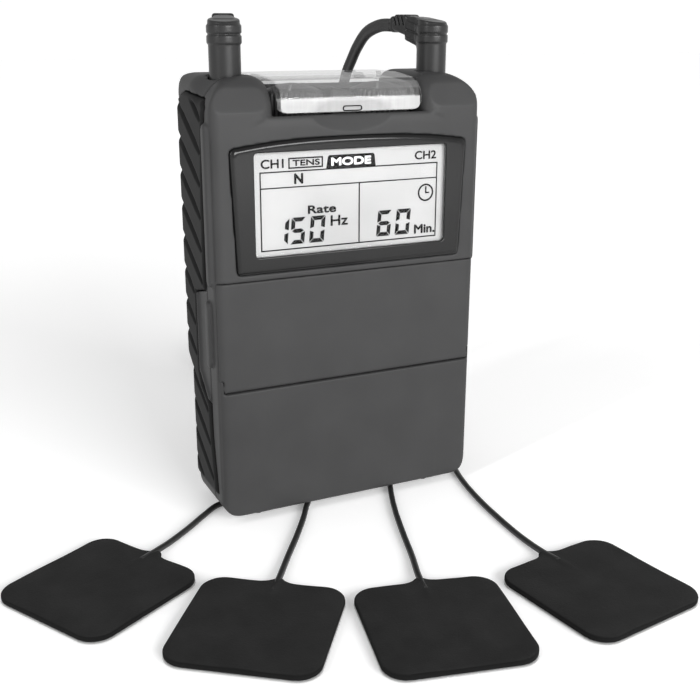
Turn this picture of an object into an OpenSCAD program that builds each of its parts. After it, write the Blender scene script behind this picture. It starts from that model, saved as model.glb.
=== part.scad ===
/* Pocket nerve-stimulation (TENS) unit with two output leads and four electrode pads.
   Millimetres. X to the right, Y to the back, Z up. The origin is the middle of the
   foot pip at the centre of the base, on the plane that all foot pips stand on. */

/* [Housing] */
// Width of the housing
body_w = 61; // [60.5:0.1:61.5]
// Depth of the housing, front face to back face
body_d = 24.5; // [24.4:0.1:24.6]
// Height of the housing without its foot pips
body_h = 93; // [93:0.1:93.4]
// Wall thickness of the two shells
wall = 1.8; // [1.7:0.05:1.9]
// Height of the foot pips that let the pad wires run under the base
foot_h = 1.6; // [1.5:0.05:1.8]
// Radius of the top corners in front view
top_r = 8.5; // [8:0.1:9]
// Radius of the bottom corners in front view
low_r = 5; // [4.5:0.1:5.5]
// Radius where the front face turns into the top
brow_r = 8; // [7.5:0.1:8.2]

/* [Controls] */
// Height of the seam above the control door, from the base
seam_high = 52.5; // [52.3:0.1:52.7]
// Height of the seam below the control door, from the base
seam_low = 28.8; // [28.6:0.1:29]
// Radius of an intensity knob
knob_r = 6.4; // [6:0.1:6.5]
// Number of grip ribs round a knob
knob_ribs = 36; // [24:2:40]
// Travel of a push button
button_travel = 0.5; // [0.4:0.05:0.5]

/* [Leads and pads] */
// Radius of a lead plug's barrel
plug_r = 3.2; // [3:0.05:3.25]
// Side of a square electrode pad
pad_side = 28.7; // [27.5:0.1:28.8]
// Thickness of a pad's backing
pad_t = 1.1; // [1:0.1:1.4]
// Width of the twin lead
lead_d = 2.8; // [2.6:0.1:2.8]
// Diameter of a single pad wire
wire_d = 1.3; // [1.1:0.1:1.3]

/* [Hidden] */
$fn = 48;

case_c = [0.33, 0.33, 0.34];
dark_c = [0.2, 0.2, 0.21];
e = 0.01;
big = 200;

half_w = body_w / 2;
front_y = -body_d / 2;
back_y = body_d / 2;
base_z = foot_h;
top_z = base_z + body_h;
// The shells meet on this plane
part_y = -6;
// Plan radii of the front and back upright edges
front_r = 2.5;
rear_r = 7;
// The back is shallower over the battery bay, below this height
bay_top_z = base_z + 29.8;
bay_back_y = back_y - 2.35;

// Notch for the knobs between the shoulders
notch_x = 16.5;
notch_floor_z = top_z - 10.1;
notch_lip_z = top_z - 8;
notch_back_z = top_z - 3.1;
notch_wall = 1.6;
knob_x = 9.8;
knob_y = -3.4;
knob_low_z = notch_floor_z + 1;
knob_rim_z = top_z - 3.6;
knob_top_z = top_z - 2.1;
hub_r = 2;
fit = 0.05;

// Clear guard over the knobs, hinged at the back
guard_x = 16;
guard_corner = [-12.1, top_z - 1.65];
guard_lean = 6;
guard_r = 4.6;
guard_t = 1;
guard_axis = [10.2, top_z - 1.4];
guard_barrel_r = 1;
guard_pin_r = 0.7;

// Lead jacks and plugs
jack_x = 23.5;
jack_y = -2;
jack_top_z = top_z - 6.2;
arm_turn = 18;
plug_top_z = top_z + 10.4;

// Control door with its hinge pegs near the lower seam
door_low_z = base_z + seam_low + 0.15;
door_high_z = base_z + seam_high - 0.15;
door_t = 1.4;
door_axis = [front_y + 1.3, door_low_z + 1.3];
door_x = half_w - 1.6;
deck_y = front_y + 2.9;
peg_r = 0.7;

// Display
lcd_x = 21.8;
lcd_z = [base_z + 57.3, base_z + 78.2];
bezel_z = [base_z + 53.8, base_z + 79.2];
bezel_x = 26;
bezel_arch = 1.9;

// Push buttons
button_x = [-18, -6, 6, 18];
button_z = base_z + 40.5;
button_size = [8, 5];

// Board
board_y = [-5.4, -4.2];
board_z = [base_z + 31.5, base_z + 79.3];
board_post = [[25.6, base_z + 61], [20, base_z + 33.3]];
case_post = [[25.8, base_z + 67], [25.8, base_z + 33]];

// Battery bay and its door
battery_at = [-24, -9.2, base_z + 2.5];
battery_size = [46.4, 16.6, 25.4];
bay_wall_z = bay_top_z + 0.1;
hatch_x = 24;
hatch_z = [base_z + 2.2, base_z + 29.4];
hatch_t = 1.4;
hatch_axis = [bay_back_y - 0.9, hatch_z[0] + 0.9];
hatch_peg_r = 0.6;

// Belt clip
clip_axis = [15.8, base_z + 81.5];
clip_half = 6.2;
clip_pin_r = 1;
clip_low_z = base_z + 40;
clip_y = [16.9, 18.7];

// Side grips: outline on the side view as [y, z above the base]
grip_outline = [
    [9, 87.5], [3.4, 89.4], [-6.8, 88.3], [-8.2, 86.8], [-6, 69], [-5.3, 50], [0.6, 48.5],
    [0.7, 31], [-0.8, 28], [-5.6, 25], [-6.2, 17], [-8.3, 5], [9, 5]];
grip_reach = 24.7;
grip_out = 0.5;
grip_in = 1.1;
groove_pitch = 6.95;
groove_top = 85;
groove_w = 1;
groove_slope = 32;

// Foot pips
front_pips = [[-21, -8.6], [21, -8.6]];
back_pips = [[0, 0], [-13, 6], [13, 6]];
pip_r = 1.8;

// Electrode pads: centre and turn of the edge that the wire leaves
pad_at = [[-60.5, -25.7, 30], [-37.6, -51.8, 52], [-7.8, -65.7, 76], [26.4, -67.3, 100]];
gel_t = 0.5;
liner_t = 0.2;

// Where the pad wires' sockets start behind the unit, pointing to +Y
socket_at = [[-14, 24], [-4, 18], [27, 16], [42, 16]];
socket_len = 9;
pin_len = 9;
plug_body_r = 1.9;

// Pad wires from the pad, under the base and to the socket
pigtail_routes = [
    [[-50.7, -20, 1.4], [-47.8, -18.2, 1.3], [-45, -15, 0.8], [-41.4, -11, 0.65], [-35.1, -6.3, 0.65],
     [-28, -0.5, 0.65], [-22, -2, 0.65], [-15, -3, 0.65], [-10, 0.5, 0.65], [-9, 6, 0.65],
     [-9.5, 11.5, 0.65], [-12.5, 16, 0.65], [-14, 20, 1.2], [-14, 24, 1.9]],
    [[-30.6, -42.8, 1.4], [-28.6, -40.1, 1.3], [-26.5, -35.5, 0.8], [-22.9, -29.4, 0.65],
     [-17, -20.4, 0.65], [-10.8, -10.4, 0.65], [-6.6, -4.6, 0.65], [-4, 0.5, 0.65], [-2.8, 5.5, 0.65],
     [-2.7, 10.5, 0.65], [-3.5, 14.5, 1.1], [-4, 18, 1.9]],
    [[-5.1, -54.7, 1.4], [-4.2, -51.2, 1.3], [-2.4, -46, 0.8], [0.8, -38, 0.65], [5.4, -24, 0.65],
     [10.8, -10.4, 0.65], [16, 0, 0.65], [22, 8, 0.65], [26.2, 12, 1], [27, 16, 1.9]],
    [[24.4, -56.1, 1.4], [23.8, -52.6, 1.3], [24.3, -47, 0.8], [25.2, -34.7, 0.65], [26.1, -23.2, 0.65],
     [29.1, -9.7, 0.65], [34, 2, 0.65], [39.5, 9, 0.65], [41.8, 13, 1.2], [42, 16, 1.9]]];

// Coil stack of the two leads, on the floor behind the unit
coil_at = [20, 92];
coil_r = 15;
coil_turn = 2.9;
coil_across = 4;
coil_h = 3.2;

// Leads from the plug's relief down to the coil, then from the coil to the splitter
lead_1_route = [
    [-19.9, 9, 103.7], [-18.7, 12.9, 103.6], [-17.3, 17, 102], [-16.4, 19.9, 99], [-15.8, 21.8, 96],
    [-15.2, 23.7, 92.5], [-14.6, 25.6, 86], [-13.4, 28, 74], [-10.4, 31, 57], [-6, 33.5, 40],
    [-1, 35.5, 24], [3, 38, 10], [5.6, 42, 3], [6.4, 47, 1.4], [7, 53, 1.4], [8.4, 60, 1.4],
    [10.8, 66.5, 1.4], [15, 71.4, 1.4], [20, 72.7, 1.5]];
lead_2_route = [
    [19.9, 9, 103.7], [18.7, 12.9, 103.6], [17.3, 17, 102], [16.4, 19.9, 99], [15.8, 21.8, 96],
    [15.2, 23.7, 92.5], [14.8, 25.6, 86], [15, 28, 74], [16.2, 31, 57], [17.8, 33.5, 40],
    [19.4, 35.5, 24], [20.8, 38, 10], [21.6, 42, 3.6], [22.6, 47, 2], [24, 53, 1.8], [25.6, 60, 2.4],
    [26.4, 66.5, 3.4], [24.6, 71, 4.4], [20, 72.7, 4.8]];
tail_1_route = [[0.65, 92, 1.7], [0.6, 87, 1.6], [1, 82, 1.5], [1.5, 78, 1.4]];
tail_2_route = [[39.35, 92, 5], [39.4, 87, 4.2], [39, 82, 2.4], [38.5, 78, 1.4]];
splitter_at = [[1.5, 69], [38.5, 69]];
splitter_len = 9;
leg_routes = [
    [[0.6, 69, 1.4], [-0.4, 64, 0.65], [-4.5, 59.5, 0.65], [-9.5, 56, 0.65], [-13.4, 51.5, 0.65],
     [-14.4, 46.5, 1.2], [-14, 42, 1.9]],
    [[2.4, 69, 1.4], [2.8, 63, 0.65], [1, 57, 0.65], [0.6, 51, 0.65], [-0.8, 45, 0.65],
     [-3.2, 40.5, 1.2], [-4, 36, 1.9]],
    [[37.6, 69, 1.4], [36.8, 63, 0.65], [33, 58, 0.65], [29.6, 52, 0.65], [28.6, 46, 0.65],
     [27.4, 39.5, 1.2], [27, 34, 1.9]],
    [[39.4, 69, 1.4], [40.6, 63, 0.65], [44, 57, 0.65], [45.4, 51, 0.65], [44, 45, 0.65],
     [42.6, 39.5, 1.2], [42, 34, 1.9]]];

// ---------- shared shapes ----------

module corner_bit(r) {
    difference() {
        translate([-1, -1]) square(r + 1);
        translate([r, r]) circle(r);
    }
}

// Rectangle from a to b with its own radius at each corner: low left, low right, high right, high left
module rounded(a, b, r) {
    difference() {
        translate(a) square(b - a);
        translate(a) corner_bit(r[0]);
        translate([b[0], a[1]]) mirror([1, 0]) corner_bit(r[1]);
        translate(b) mirror([1, 0]) mirror([0, 1]) corner_bit(r[2]);
        translate([a[0], b[1]]) mirror([0, 1]) corner_bit(r[3]);
    }
}

// Extrude a drawing in X and Z along Y, from y0 to y1
module along_y(y0, y1) {
    translate([0, y1, 0]) rotate([90, 0, 0]) linear_extrude(y1 - y0) children();
}

// Extrude a drawing in Y and Z along X, from x0 to x1
module along_x(x0, x1) {
    translate([x0, 0, 0]) rotate([90, 0, 90]) linear_extrude(x1 - x0) children();
}

module box(a, b) {
    translate(a) cube(b - a);
}

module rod_x(x0, x1, at, r) {
    translate([x0, at[0], at[1]]) rotate([0, 90, 0]) cylinder(h = x1 - x0, r = r);
}

module rod_y(y0, y1, at, r) {
    translate([at[0], y0, at[1]]) rotate([-90, 0, 0]) cylinder(h = y1 - y0, r = r);
}

function unit_of(v) = v / norm(v);

// Direction of the route at point i
function heading(p, i) = unit_of(p[min(i + 1, len(p) - 1)] - p[max(i - 1, 0)]);

function ring(c, d, r, sides) =
    let (
        flat = unit_of(cross(d, abs(d[2]) > 0.9 ? [0, 1, 0] : [0, 0, 1])),
        up = cross(flat, d)
    )
    [for (k = [0 : sides - 1]) c + r * (cos(360 * k / sides) * flat + sin(360 * k / sides) * up)];

// Tube along a route, as one polyhedron
module tube(route, d, sides = 8) {
    count = len(route);
    rings = [for (i = [0 : count - 1]) each ring(route[i], heading(route, i), d / 2, sides)];
    walls = [
        for (i = [0 : count - 2], k = [0 : sides - 1])
            let (a = i * sides + k, b = i * sides + (k + 1) % sides)
            [a, b, b + sides, a + sides]];
    polyhedron(
        rings,
        concat(
            walls,
            [[for (k = [sides - 1 : -1 : 0]) k]],
            [[for (k = [0 : sides - 1]) (count - 1) * sides + k]]),
        convexity = 6);
}

// ---------- housing ----------

module front_view(t) {
    rounded(
        [-half_w + t, base_z + t], [half_w - t, top_z - t],
        [low_r - t, low_r - t, top_r - t, top_r - t]);
}

module side_view(t) {
    difference() {
        rounded(
            [front_y + t, base_z + t], [back_y - t, top_z - t],
            [max(1.5 - t, 0.3), max(3 - t, 0.3), 5 - t, brow_r - t]);
        polygon([
            [bay_back_y - t, 0], [bay_back_y - t, bay_top_z + 0.3 * t], [back_y - t, bay_top_z + 2.4 + 0.3 * t],
            [back_y + 1, bay_top_z + 2.4 + 0.3 * t], [back_y + 1, 0]]);
    }
}

module plan_view(t) {
    rounded(
        [-half_w + t, front_y + t], [half_w - t, back_y - t],
        [max(front_r - t, 0.4), max(front_r - t, 0.4), rear_r - t, rear_r - t]);
}

// The housing's outer form, drawn in by t
module envelope(t) {
    intersection() {
        along_y(-big, big) front_view(t);
        along_x(-big, big) side_view(t);
        linear_extrude(big) plan_view(t);
    }
}

// The space of the knob notch, grown by g into the housing
module notch_block(g) {
    box([-notch_x - g, front_y - 1, notch_lip_z - g], [notch_x + g, back_y - 1.8 + g, top_z + 1]);
    box([-notch_x - g, front_y + wall - g, notch_floor_z - g], [notch_x + g, back_y - 1.8 + g, top_z]);
    box([-notch_x - g, back_y - 3, notch_back_z - g], [notch_x + g, back_y + 1, top_z + 1]);
}

// The space of the control door, grown by g into the housing
module door_block(g) {
    box(
        [-door_x - 0.15 - g, front_y - 1, base_z + seam_low - g],
        [door_x + 0.15 + g, deck_y + g, base_z + seam_high + g]);
}

module grip_outline_2d(grow) {
    intersection() {
        polygon([for (p = grip_outline) [p[0], p[1] + base_z]]);
        translate([-20, 0]) square([20 + back_y - 2.8 - grow, big]);
    }
}

// The skin that the left grip fills, from t_out outside the housing to t_in inside
module grip_skin(t_out, t_in) {
    difference() {
        envelope(-t_out);
        envelope(t_in);
    }
}

module grip_space(t_out, t_in) {
    intersection() {
        grip_skin(t_out, t_in);
        along_x(-half_w - 2, -grip_reach) grip_outline_2d(0);
    }
}

module grip_grooves() {
    for (i = [0 : 11])
        let (z = base_z + groove_top - i * groove_pitch)
        translate([-half_w - 1.2, 5, z]) rotate([groove_slope, 0, 0])
            box([0, -14, -groove_w / 2], [1.2 + 0.5, 14, groove_w / 2]);
}

module left_grip_body() {
    difference() {
        grip_space(grip_out, grip_in);
        intersection() {
            grip_grooves();
            along_x(-half_w - 2, -half_w + 3) grip_outline_2d(0);
        }
    }
}

module left_grip() {
    color(dark_c) left_grip_body();
}

module right_grip() {
    color(dark_c) mirror([1, 0, 0]) left_grip_body();
}

module cavity() {
    difference() {
        envelope(wall);
        notch_block(notch_wall);
        door_block(1.6);
        for (s = [0, 1]) mirror([s, 0, 0])
            intersection() {
                grip_skin(0, grip_in + fit + 1.2);
                along_x(-half_w - 2, -grip_reach) grip_outline_2d(-1);
            }
    }
}

module shell_body() {
    difference() {
        envelope(0);
        cavity();
        notch_block(0);
        door_block(0);
        for (s = [0, 1]) mirror([s, 0, 0]) grip_space(1, grip_in + fit);
        // Holes for the lead plugs
        for (s = [-1, 1]) translate([s * jack_x, jack_y, jack_top_z]) cylinder(h = 10, r = plug_r + 0.2);
        // Pivot holes of the knob guard
        for (s = [0, 1]) mirror([s, 0, 0])
            rod_x(notch_x - 1, notch_x + 1.3, guard_axis, guard_pin_r + fit);
    }
}

module bezel_2d(grow) {
    arch_r = (bezel_x * bezel_x + bezel_arch * bezel_arch) / (2 * bezel_arch);
    intersection() {
        rounded(
            [-bezel_x - grow, bezel_z[0] - grow], [bezel_x + grow, bezel_z[1] + bezel_arch + grow],
            [1.2, 1.2, 2, 2]);
        translate([0, bezel_z[1] + bezel_arch + grow - arch_r]) circle(arch_r, $fn = 180);
    }
}

module button_outline(i, grow) {
    translate([button_x[i], button_z])
        rounded(
            -button_size / 2 - [grow, grow], button_size / 2 + [grow, grow],
            [1.8, 1.8, 1.8, 1.8]);
}

module foot_pips(places) {
    for (p = places) translate([p[0], p[1], 0]) cylinder(h = foot_h + 0.4, r = pip_r);
}

module front_shell() {
    color(case_c)
    difference() {
        union() {
            intersection() {
                shell_body();
                box([-big, -big, 0], [big, part_y, big]);
            }
            // Posts for the board screws and the case screws
            for (s = [-1, 1]) {
                rod_y(front_y + 1, board_y[0] - 0.1, [s * board_post[0][0], board_post[0][1]], 1.8);
                rod_y(deck_y + 1, board_y[0] - 0.1, [s * board_post[1][0], board_post[1][1]], 1.8);
                rod_y(front_y + 1, part_y, [s * case_post[0][0], case_post[0][1]], 2.2);
                rod_y(deck_y + 1, part_y, [s * case_post[1][0], case_post[1][1]], 2.2);
            }
            foot_pips(front_pips);
        }
        // Recess of the bezel and the opening behind it
        along_y(front_y - 1, front_y + 0.85) bezel_2d(0.1);
        along_y(front_y - 1, front_y + 4)
            rounded([-23.4, lcd_z[0] - 1.3], [23.4, lcd_z[1] + 1.3], [0.5, 0.5, 0.5, 0.5]);
        for (i = [0 : 3]) along_y(deck_y - 1, deck_y + 3) button_outline(i, 0.15);
        for (s = [-1, 1]) {
            rod_y(front_y + 2.2, 0, [s * board_post[0][0], board_post[0][1]], 0.75);
            rod_y(deck_y + 1.2, 0, [s * board_post[1][0], board_post[1][1]], 0.75);
            rod_y(front_y + 2.2, 0, [s * case_post[0][0], case_post[0][1]], 0.95);
            rod_y(deck_y + 1.2, 0, [s * case_post[1][0], case_post[1][1]], 0.95);
        }
        // Peg holes of the control door
        for (s = [0, 1]) mirror([s, 0, 0])
            rod_x(door_x - 0.1, door_x + 0.9, door_axis, peg_r + fit);
        // Room for the battery's upper edge
        translate(battery_at - 0.2 * [1, 1, 1]) cube([battery_size[0], battery_size[1], battery_size[2]] + 0.4 * [1, 1, 1]);
    }
}

module back_shell() {
    color(case_c)
    difference() {
        union() {
            intersection() {
                shell_body();
                box([-big, part_y, 0], [big, big, big]);
            }
            // Floor between the battery bay and the board
            intersection() {
                envelope(wall - 0.4);
                box([-big, part_y + 0.1, bay_wall_z], [big, big, bay_wall_z + 1.4]);
            }
            for (s = [-1, 1], p = case_post)
                intersection() {
                    envelope(0.5);
                    rod_y(board_y[1] + 0.1, big, [s * p[0], p[1]], 2.6);
                }
            // Divider between the knobs
            box([-2.9, part_y, notch_floor_z - 0.5], [2.9, back_y - 2, top_z - 2.7]);
            box([-2.9, part_y - 1.5, notch_floor_z + 0.05], [2.9, part_y + 0.1, top_z - 2.7]);
            // Lugs of the belt clip
            for (s = [-1, 1])
                along_x(s > 0 ? clip_half + 0.2 : -clip_half - 2.2, s > 0 ? clip_half + 2.2 : -clip_half - 0.2)
                    union() {
                        translate(clip_axis) circle(2.2);
                        polygon([
                            [back_y - 0.5, clip_axis[1] - 4.5], [clip_axis[0], clip_axis[1] - 2.2],
                            [clip_axis[0], clip_axis[1] + 2.2], [back_y - 0.5, clip_axis[1] + 4.5]]);
                    }
            foot_pips(back_pips);
        }
        for (s = [-1, 1]) {
            translate([s * knob_x, knob_y, notch_floor_z - 5]) cylinder(h = 8, r = hub_r + fit);
            for (p = case_post) {
                rod_y(-5, big, [s * p[0], p[1]], 1.3);
                rod_y(back_y - 2.4, big, [s * p[0], p[1]], 2.1);
            }
        }
        rod_x(-clip_half - 3, clip_half + 3, clip_axis, clip_pin_r + fit);
        // Opening of the battery bay with its peg holes
        box([-hatch_x - 0.15, bay_back_y - 2.5, hatch_z[0] - 0.15], [hatch_x + 0.15, bay_back_y + 1, hatch_z[1] + 0.15]);
        rod_x(-hatch_x - 1.1, hatch_x + 1.1, hatch_axis, hatch_peg_r + fit);
    }
}

// ---------- display ----------

module display_bezel() {
    color(dark_c)
    difference() {
        along_y(front_y - 0.2, front_y + 0.8) bezel_2d(0);
        along_y(front_y - 1, front_y + 1)
            rounded([-lcd_x, lcd_z[0]], [lcd_x, lcd_z[1]], [0.6, 0.6, 0.6, 0.6]);
    }
}

module display_window() {
    color([0.85, 0.9, 0.92, 0.5]) along_y(front_y - 0.05, front_y + 0.75)
        rounded([-lcd_x + 0.1, lcd_z[0] + 0.1], [lcd_x - 0.1, lcd_z[1] - 0.1], [0.5, 0.5, 0.5, 0.5]);
}

module lcd_panel() {
    color([0.85, 0.86, 0.84]) box([-23, front_y + 0.9, lcd_z[0] - 1.2], [23, front_y + 3.7, lcd_z[1] + 1.2]);
}

module lcd_connectors() {
    color([0.75, 0.55, 0.6]) for (z = [lcd_z[0] - 0.8, lcd_z[1] - 1])
        box([-18, front_y + 3.8, z], [18, board_y[0] - 0.1, z + 1.8]);
}

// ---------- control door and buttons ----------

module control_door() {
    color(case_c)
    difference() {
        union() {
            intersection() {
                envelope(0);
                box([-door_x, -big, door_axis[1]], [door_x, front_y + door_t, door_high_z]);
            }
            // Rounded lower edge, concentric with the hinge
            intersection() {
                rod_x(-door_x, door_x, door_axis, 1.3);
                linear_extrude(big) plan_view(0);
            }
            rod_x(-door_x - 0.8, door_x + 0.8, door_axis, peg_r);
        }
        // Finger recess inside the upper edge
        rod_y(front_y + door_t - 0.5, front_y + door_t + 1, [0, door_high_z], 4);
    }
}

module button(i) {
    color([0.6, 0.6, 0.62]) {
        along_y(deck_y - 0.85, deck_y + 1.9) button_outline(i, 0);
        along_y(deck_y + 1.7, deck_y + 2.5) button_outline(i, 0.9);
    }
}

module button_mode() { button(0); }
module button_set() { button(1); }
module button_up() { button(2); }
module button_down() { button(3); }

module keypad_sheet() {
    color([0.45, 0.45, 0.5]) {
        box([-24, deck_y + 3.3, button_z - 5.2], [24, board_y[0] - 0.1, button_z + 5.2]);
        for (x = button_x)
            rod_y(deck_y + 3.05, deck_y + 3.4, [x, button_z], 2);
    }
}

// ---------- electronics ----------

module circuit_board() {
    color([0.1, 0.35, 0.2])
    difference() {
        union() {
            box([-27.4, board_y[0], board_z[0]], [27.4, board_y[1], base_z + 65]);
            box([-18.3, board_y[0], base_z + 64.9], [18.3, board_y[1], board_z[1]]);
        }
        for (s = [-1, 1]) {
            for (p = board_post) rod_y(-10, 0, [s * p[0], p[1]], 1);
            for (p = case_post) rod_y(-10, 0, [s * p[0], p[1]], 3);
        }
    }
}

// Laminated core with the winding standing out on both faces
module transformer(x) {
    z = base_z + 50;
    color([0.5, 0.5, 0.5]) box([x - 7, -3.6, z], [x + 7, 1, z + 12]);
    color([0.7, 0.3, 0.1]) box([x - 4.6, -4.1, z + 2.4], [x + 4.6, 2.6, z + 9.6]);
}

module transformer_ch1() { transformer(-12); }
module transformer_ch2() { transformer(12); }

module jack(s) {
    color([0.15, 0.15, 0.15])
    translate([s * jack_x, jack_y, 0])
    difference() {
        translate([0, 0, base_z + 75]) cylinder(h = jack_top_z - 0.1 - base_z - 75, r = 4.2);
        translate([0, 0, jack_top_z - 4.4]) cylinder(h = 10, r = plug_r + 0.2);
        translate([0, 0, base_z + 76]) cylinder(h = 10, r = 1.25);
    }
}

module jack_ch1() { jack(-1); }
module jack_ch2() { jack(1); }

module potentiometer(s) {
    color([0.2, 0.25, 0.4])
    translate([s * knob_x, knob_y, 0])
    difference() {
        translate([0, 0, base_z + 79.5]) cylinder(h = 1.8, r = 5.4);
        translate([0, 0, base_z + 79]) cylinder(h = 5, r = hub_r + fit);
    }
}

module potentiometer_ch1() { potentiometer(-1); }
module potentiometer_ch2() { potentiometer(1); }

// ---------- knobs and guard ----------

module knob(s) {
    dome_rise = knob_top_z - knob_rim_z;
    dome_half = knob_r - 0.5;
    dome_r = (dome_half * dome_half + dome_rise * dome_rise) / (2 * dome_rise);
    color(dark_c)
    translate([s * knob_x, knob_y, 0])
    difference() {
        union() {
            translate([0, 0, knob_low_z]) cylinder(h = knob_rim_z - knob_low_z, r = knob_r - 0.3);
            intersection() {
                translate([0, 0, knob_top_z - dome_r]) sphere(dome_r, $fn = 96);
                translate([0, 0, knob_rim_z - 0.5]) cylinder(h = 3, r = dome_half);
            }
            for (i = [0 : knob_ribs - 1]) rotate(360 * i / knob_ribs)
                translate([knob_r - 0.5, -0.28, knob_low_z]) cube([0.5, 0.56, knob_rim_z - knob_low_z - 0.3]);
            translate([0, 0, base_z + 79.6]) cylinder(h = knob_low_z + 0.5 - base_z - 79.6, r = hub_r);
        }
        // Pointer groove across the top
        translate([-0.4, -knob_r, knob_rim_z]) cube([0.8, 4.5, 3]);
    }
}

module knob_ch1() { knob(-1); }
module knob_ch2() { knob(1); }

// Side profile of the guard, drawn in by t
module guard_view(t) {
    intersection() {
        translate(guard_corner) rotate(guard_lean)
            rounded([t, -20], [40, -t], [0.1, 0.1, 0.1, guard_r - t]);
        translate([-20, 0]) square([60, top_z - 0.4 - t]);
    }
}

module knob_guard() {
    color([0.8, 0.85, 0.88, 0.4])
    union() {
        difference() {
            intersection() {
                along_x(-guard_x, guard_x) guard_view(0);
                box([-big, -big, notch_lip_z + 0.3], [big, guard_axis[0], big]);
            }
            along_x(-guard_x + 1, guard_x - 1) guard_view(guard_t);
            // The end cheeks reach only over the brow
            along_x(-big, big)
                polygon([[-9.6, 0], [-9.6, 89.3], [-7.5, 91.6], [-5, 92.2], [30, 92.2], [30, 0]]);
        }
        rod_x(-guard_x, guard_x, guard_axis, guard_barrel_r);
        rod_x(-guard_x - 1.5, guard_x + 1.5, guard_axis, guard_pin_r);
        // Small pull lip
        along_y(front_y - 0.1, front_y + 0.9)
            rounded([-2, notch_lip_z + 0.9], [2, notch_lip_z + 1.7], [0.35, 0.35, 0.35, 0.35]);
    }
}

// ---------- battery and its door ----------

module battery() {
    b = battery_at;
    s = battery_size;
    color([0.25, 0.3, 0.5])
        translate(b) rotate([90, 0, 90]) linear_extrude(s[0])
            rounded([0, 0], [s[1], s[2]], [2, 2, 2, 2]);
    color([0.8, 0.8, 0.8]) {
        for (z = [0.26, 0.74])
            rod_x(b[0] + s[0] - e, b[0] + s[0] + 2.3, [b[1] + s[1] / 2, b[2] + z * s[2]], z < 0.5 ? 2.9 : 3.4);
    }
}

module battery_contacts() {
    x = battery_at[0] + battery_size[0] + 2.5;
    color([0.85, 0.75, 0.4])
    for (z = [0.26, 0.74])
        let (c = battery_at[2] + z * battery_size[2])
        box([x, battery_at[1] + 3.5, c - 4], [x + 0.6, battery_at[1] + 13.5, c + 4]);
    color([0.15, 0.15, 0.15])
        box([x + 0.6, battery_at[1] + 1, battery_at[2] + 2], [x + 1.8, battery_at[1] + 16, battery_at[2] + 24.5]);
}

module battery_door() {
    color(case_c) {
        difference() {
            box([-hatch_x, bay_back_y - hatch_t, hatch_axis[1]], [hatch_x, bay_back_y, hatch_z[1]]);
            // Ribbed thumb hollow
            for (i = [0 : 4])
                box([-6, bay_back_y - 0.4, hatch_z[1] - 4 - i * 1.6], [6, bay_back_y + 1, hatch_z[1] - 3.2 - i * 1.6]);
        }
        intersection() {
            rod_x(-hatch_x, hatch_x, hatch_axis, 0.9);
            box([-big, bay_back_y - hatch_t, 0], [big, big, hatch_axis[1] + 0.5]);
        }
        rod_x(-hatch_x - 0.9, hatch_x + 0.9, hatch_axis, hatch_peg_r);
        // Snap tongue behind the upper edge
        box([-4, bay_back_y - 2.2, hatch_z[1] - 3], [4, bay_back_y - hatch_t + e, hatch_z[1] + 0.1]);
    }
}

// ---------- belt clip ----------

module belt_clip() {
    color(dark_c)
    difference() {
        union() {
            rod_x(-clip_half, clip_half, clip_axis, 2.2);
            along_x(-clip_half, clip_half)
                union() {
                    polygon([
                        [clip_y[0], clip_low_z + 4], [clip_y[1], clip_low_z + 3], [clip_y[1], clip_axis[1] + 8],
                        [clip_y[0], clip_axis[1] + 8]]);
                    polygon([
                        [clip_y[1], clip_low_z + 3.2], [clip_y[0], clip_low_z + 5], [back_y + 0.5, clip_low_z + 1.8],
                        [back_y + 0.5, clip_low_z + 0.4], [back_y + 1.4, clip_low_z]]);
                    polygon([
                        [clip_axis[0], clip_axis[1] - 2.1], [clip_y[1], clip_axis[1] - 4], [clip_y[1], clip_axis[1] + 4],
                        [clip_axis[0], clip_axis[1] + 2.1]]);
                }
        }
        rod_x(-clip_half - 1, clip_half + 1, clip_axis, clip_pin_r + fit);
        // Room for the spring
        box([-2.7, 0, clip_axis[1] - 2.6], [2.7, clip_y[0] + 0.8, clip_axis[1] + 2.6]);
    }
}

module clip_pin() {
    color([0.75, 0.75, 0.77]) rod_x(-clip_half - 2.1, clip_half + 2.1, clip_axis, clip_pin_r);
}

module clip_spring() {
    wire = 0.3;
    color([0.7, 0.7, 0.72]) {
        translate([0, clip_axis[0], clip_axis[1]]) rotate([0, 90, 0])
            for (i = [-3 : 3]) translate([0, 0, i * 0.6 - wire]) difference() {
                cylinder(h = 2 * wire + e, r = 1.65);
                translate([0, 0, -1]) cylinder(h = 3, r = 1.15);
            }
        box([-2.1, back_y + 0.05, clip_axis[1] - 1.8], [-1.5, clip_axis[0] - 0.8, clip_axis[1] - 1.2]);
        box([-2.1, back_y + 0.05, clip_axis[1] - 9], [-1.5, back_y + 0.65, clip_axis[1] - 1.2]);
    }
}

// ---------- fasteners ----------

module case_screws() {
    color([0.3, 0.3, 0.3])
    for (s = [-1, 1], p = case_post) {
        rod_y(part_y - 2, back_y - 2.3, [s * p[0], p[1]], 0.9);
        difference() {
            rod_y(back_y - 2.35, back_y - 1, [s * p[0], p[1]], 1.9);
            box([s * p[0] - 1.3, back_y - 1.6, p[1] - 0.25], [s * p[0] + 1.3, back_y, p[1] + 0.25]);
            box([s * p[0] - 0.25, back_y - 1.6, p[1] - 1.3], [s * p[0] + 0.25, back_y, p[1] + 1.3]);
        }
    }
}

module board_screws() {
    color([0.7, 0.7, 0.7])
    for (s = [-1, 1], p = board_post) {
        rod_y(board_y[0] - 1.5, board_y[1] + 0.1, [s * p[0], p[1]], 0.7);
        rod_y(board_y[1] + 0.05, board_y[1] + 0.9, [s * p[0], p[1]], 1.6);
    }
}

// ---------- leads ----------

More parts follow.
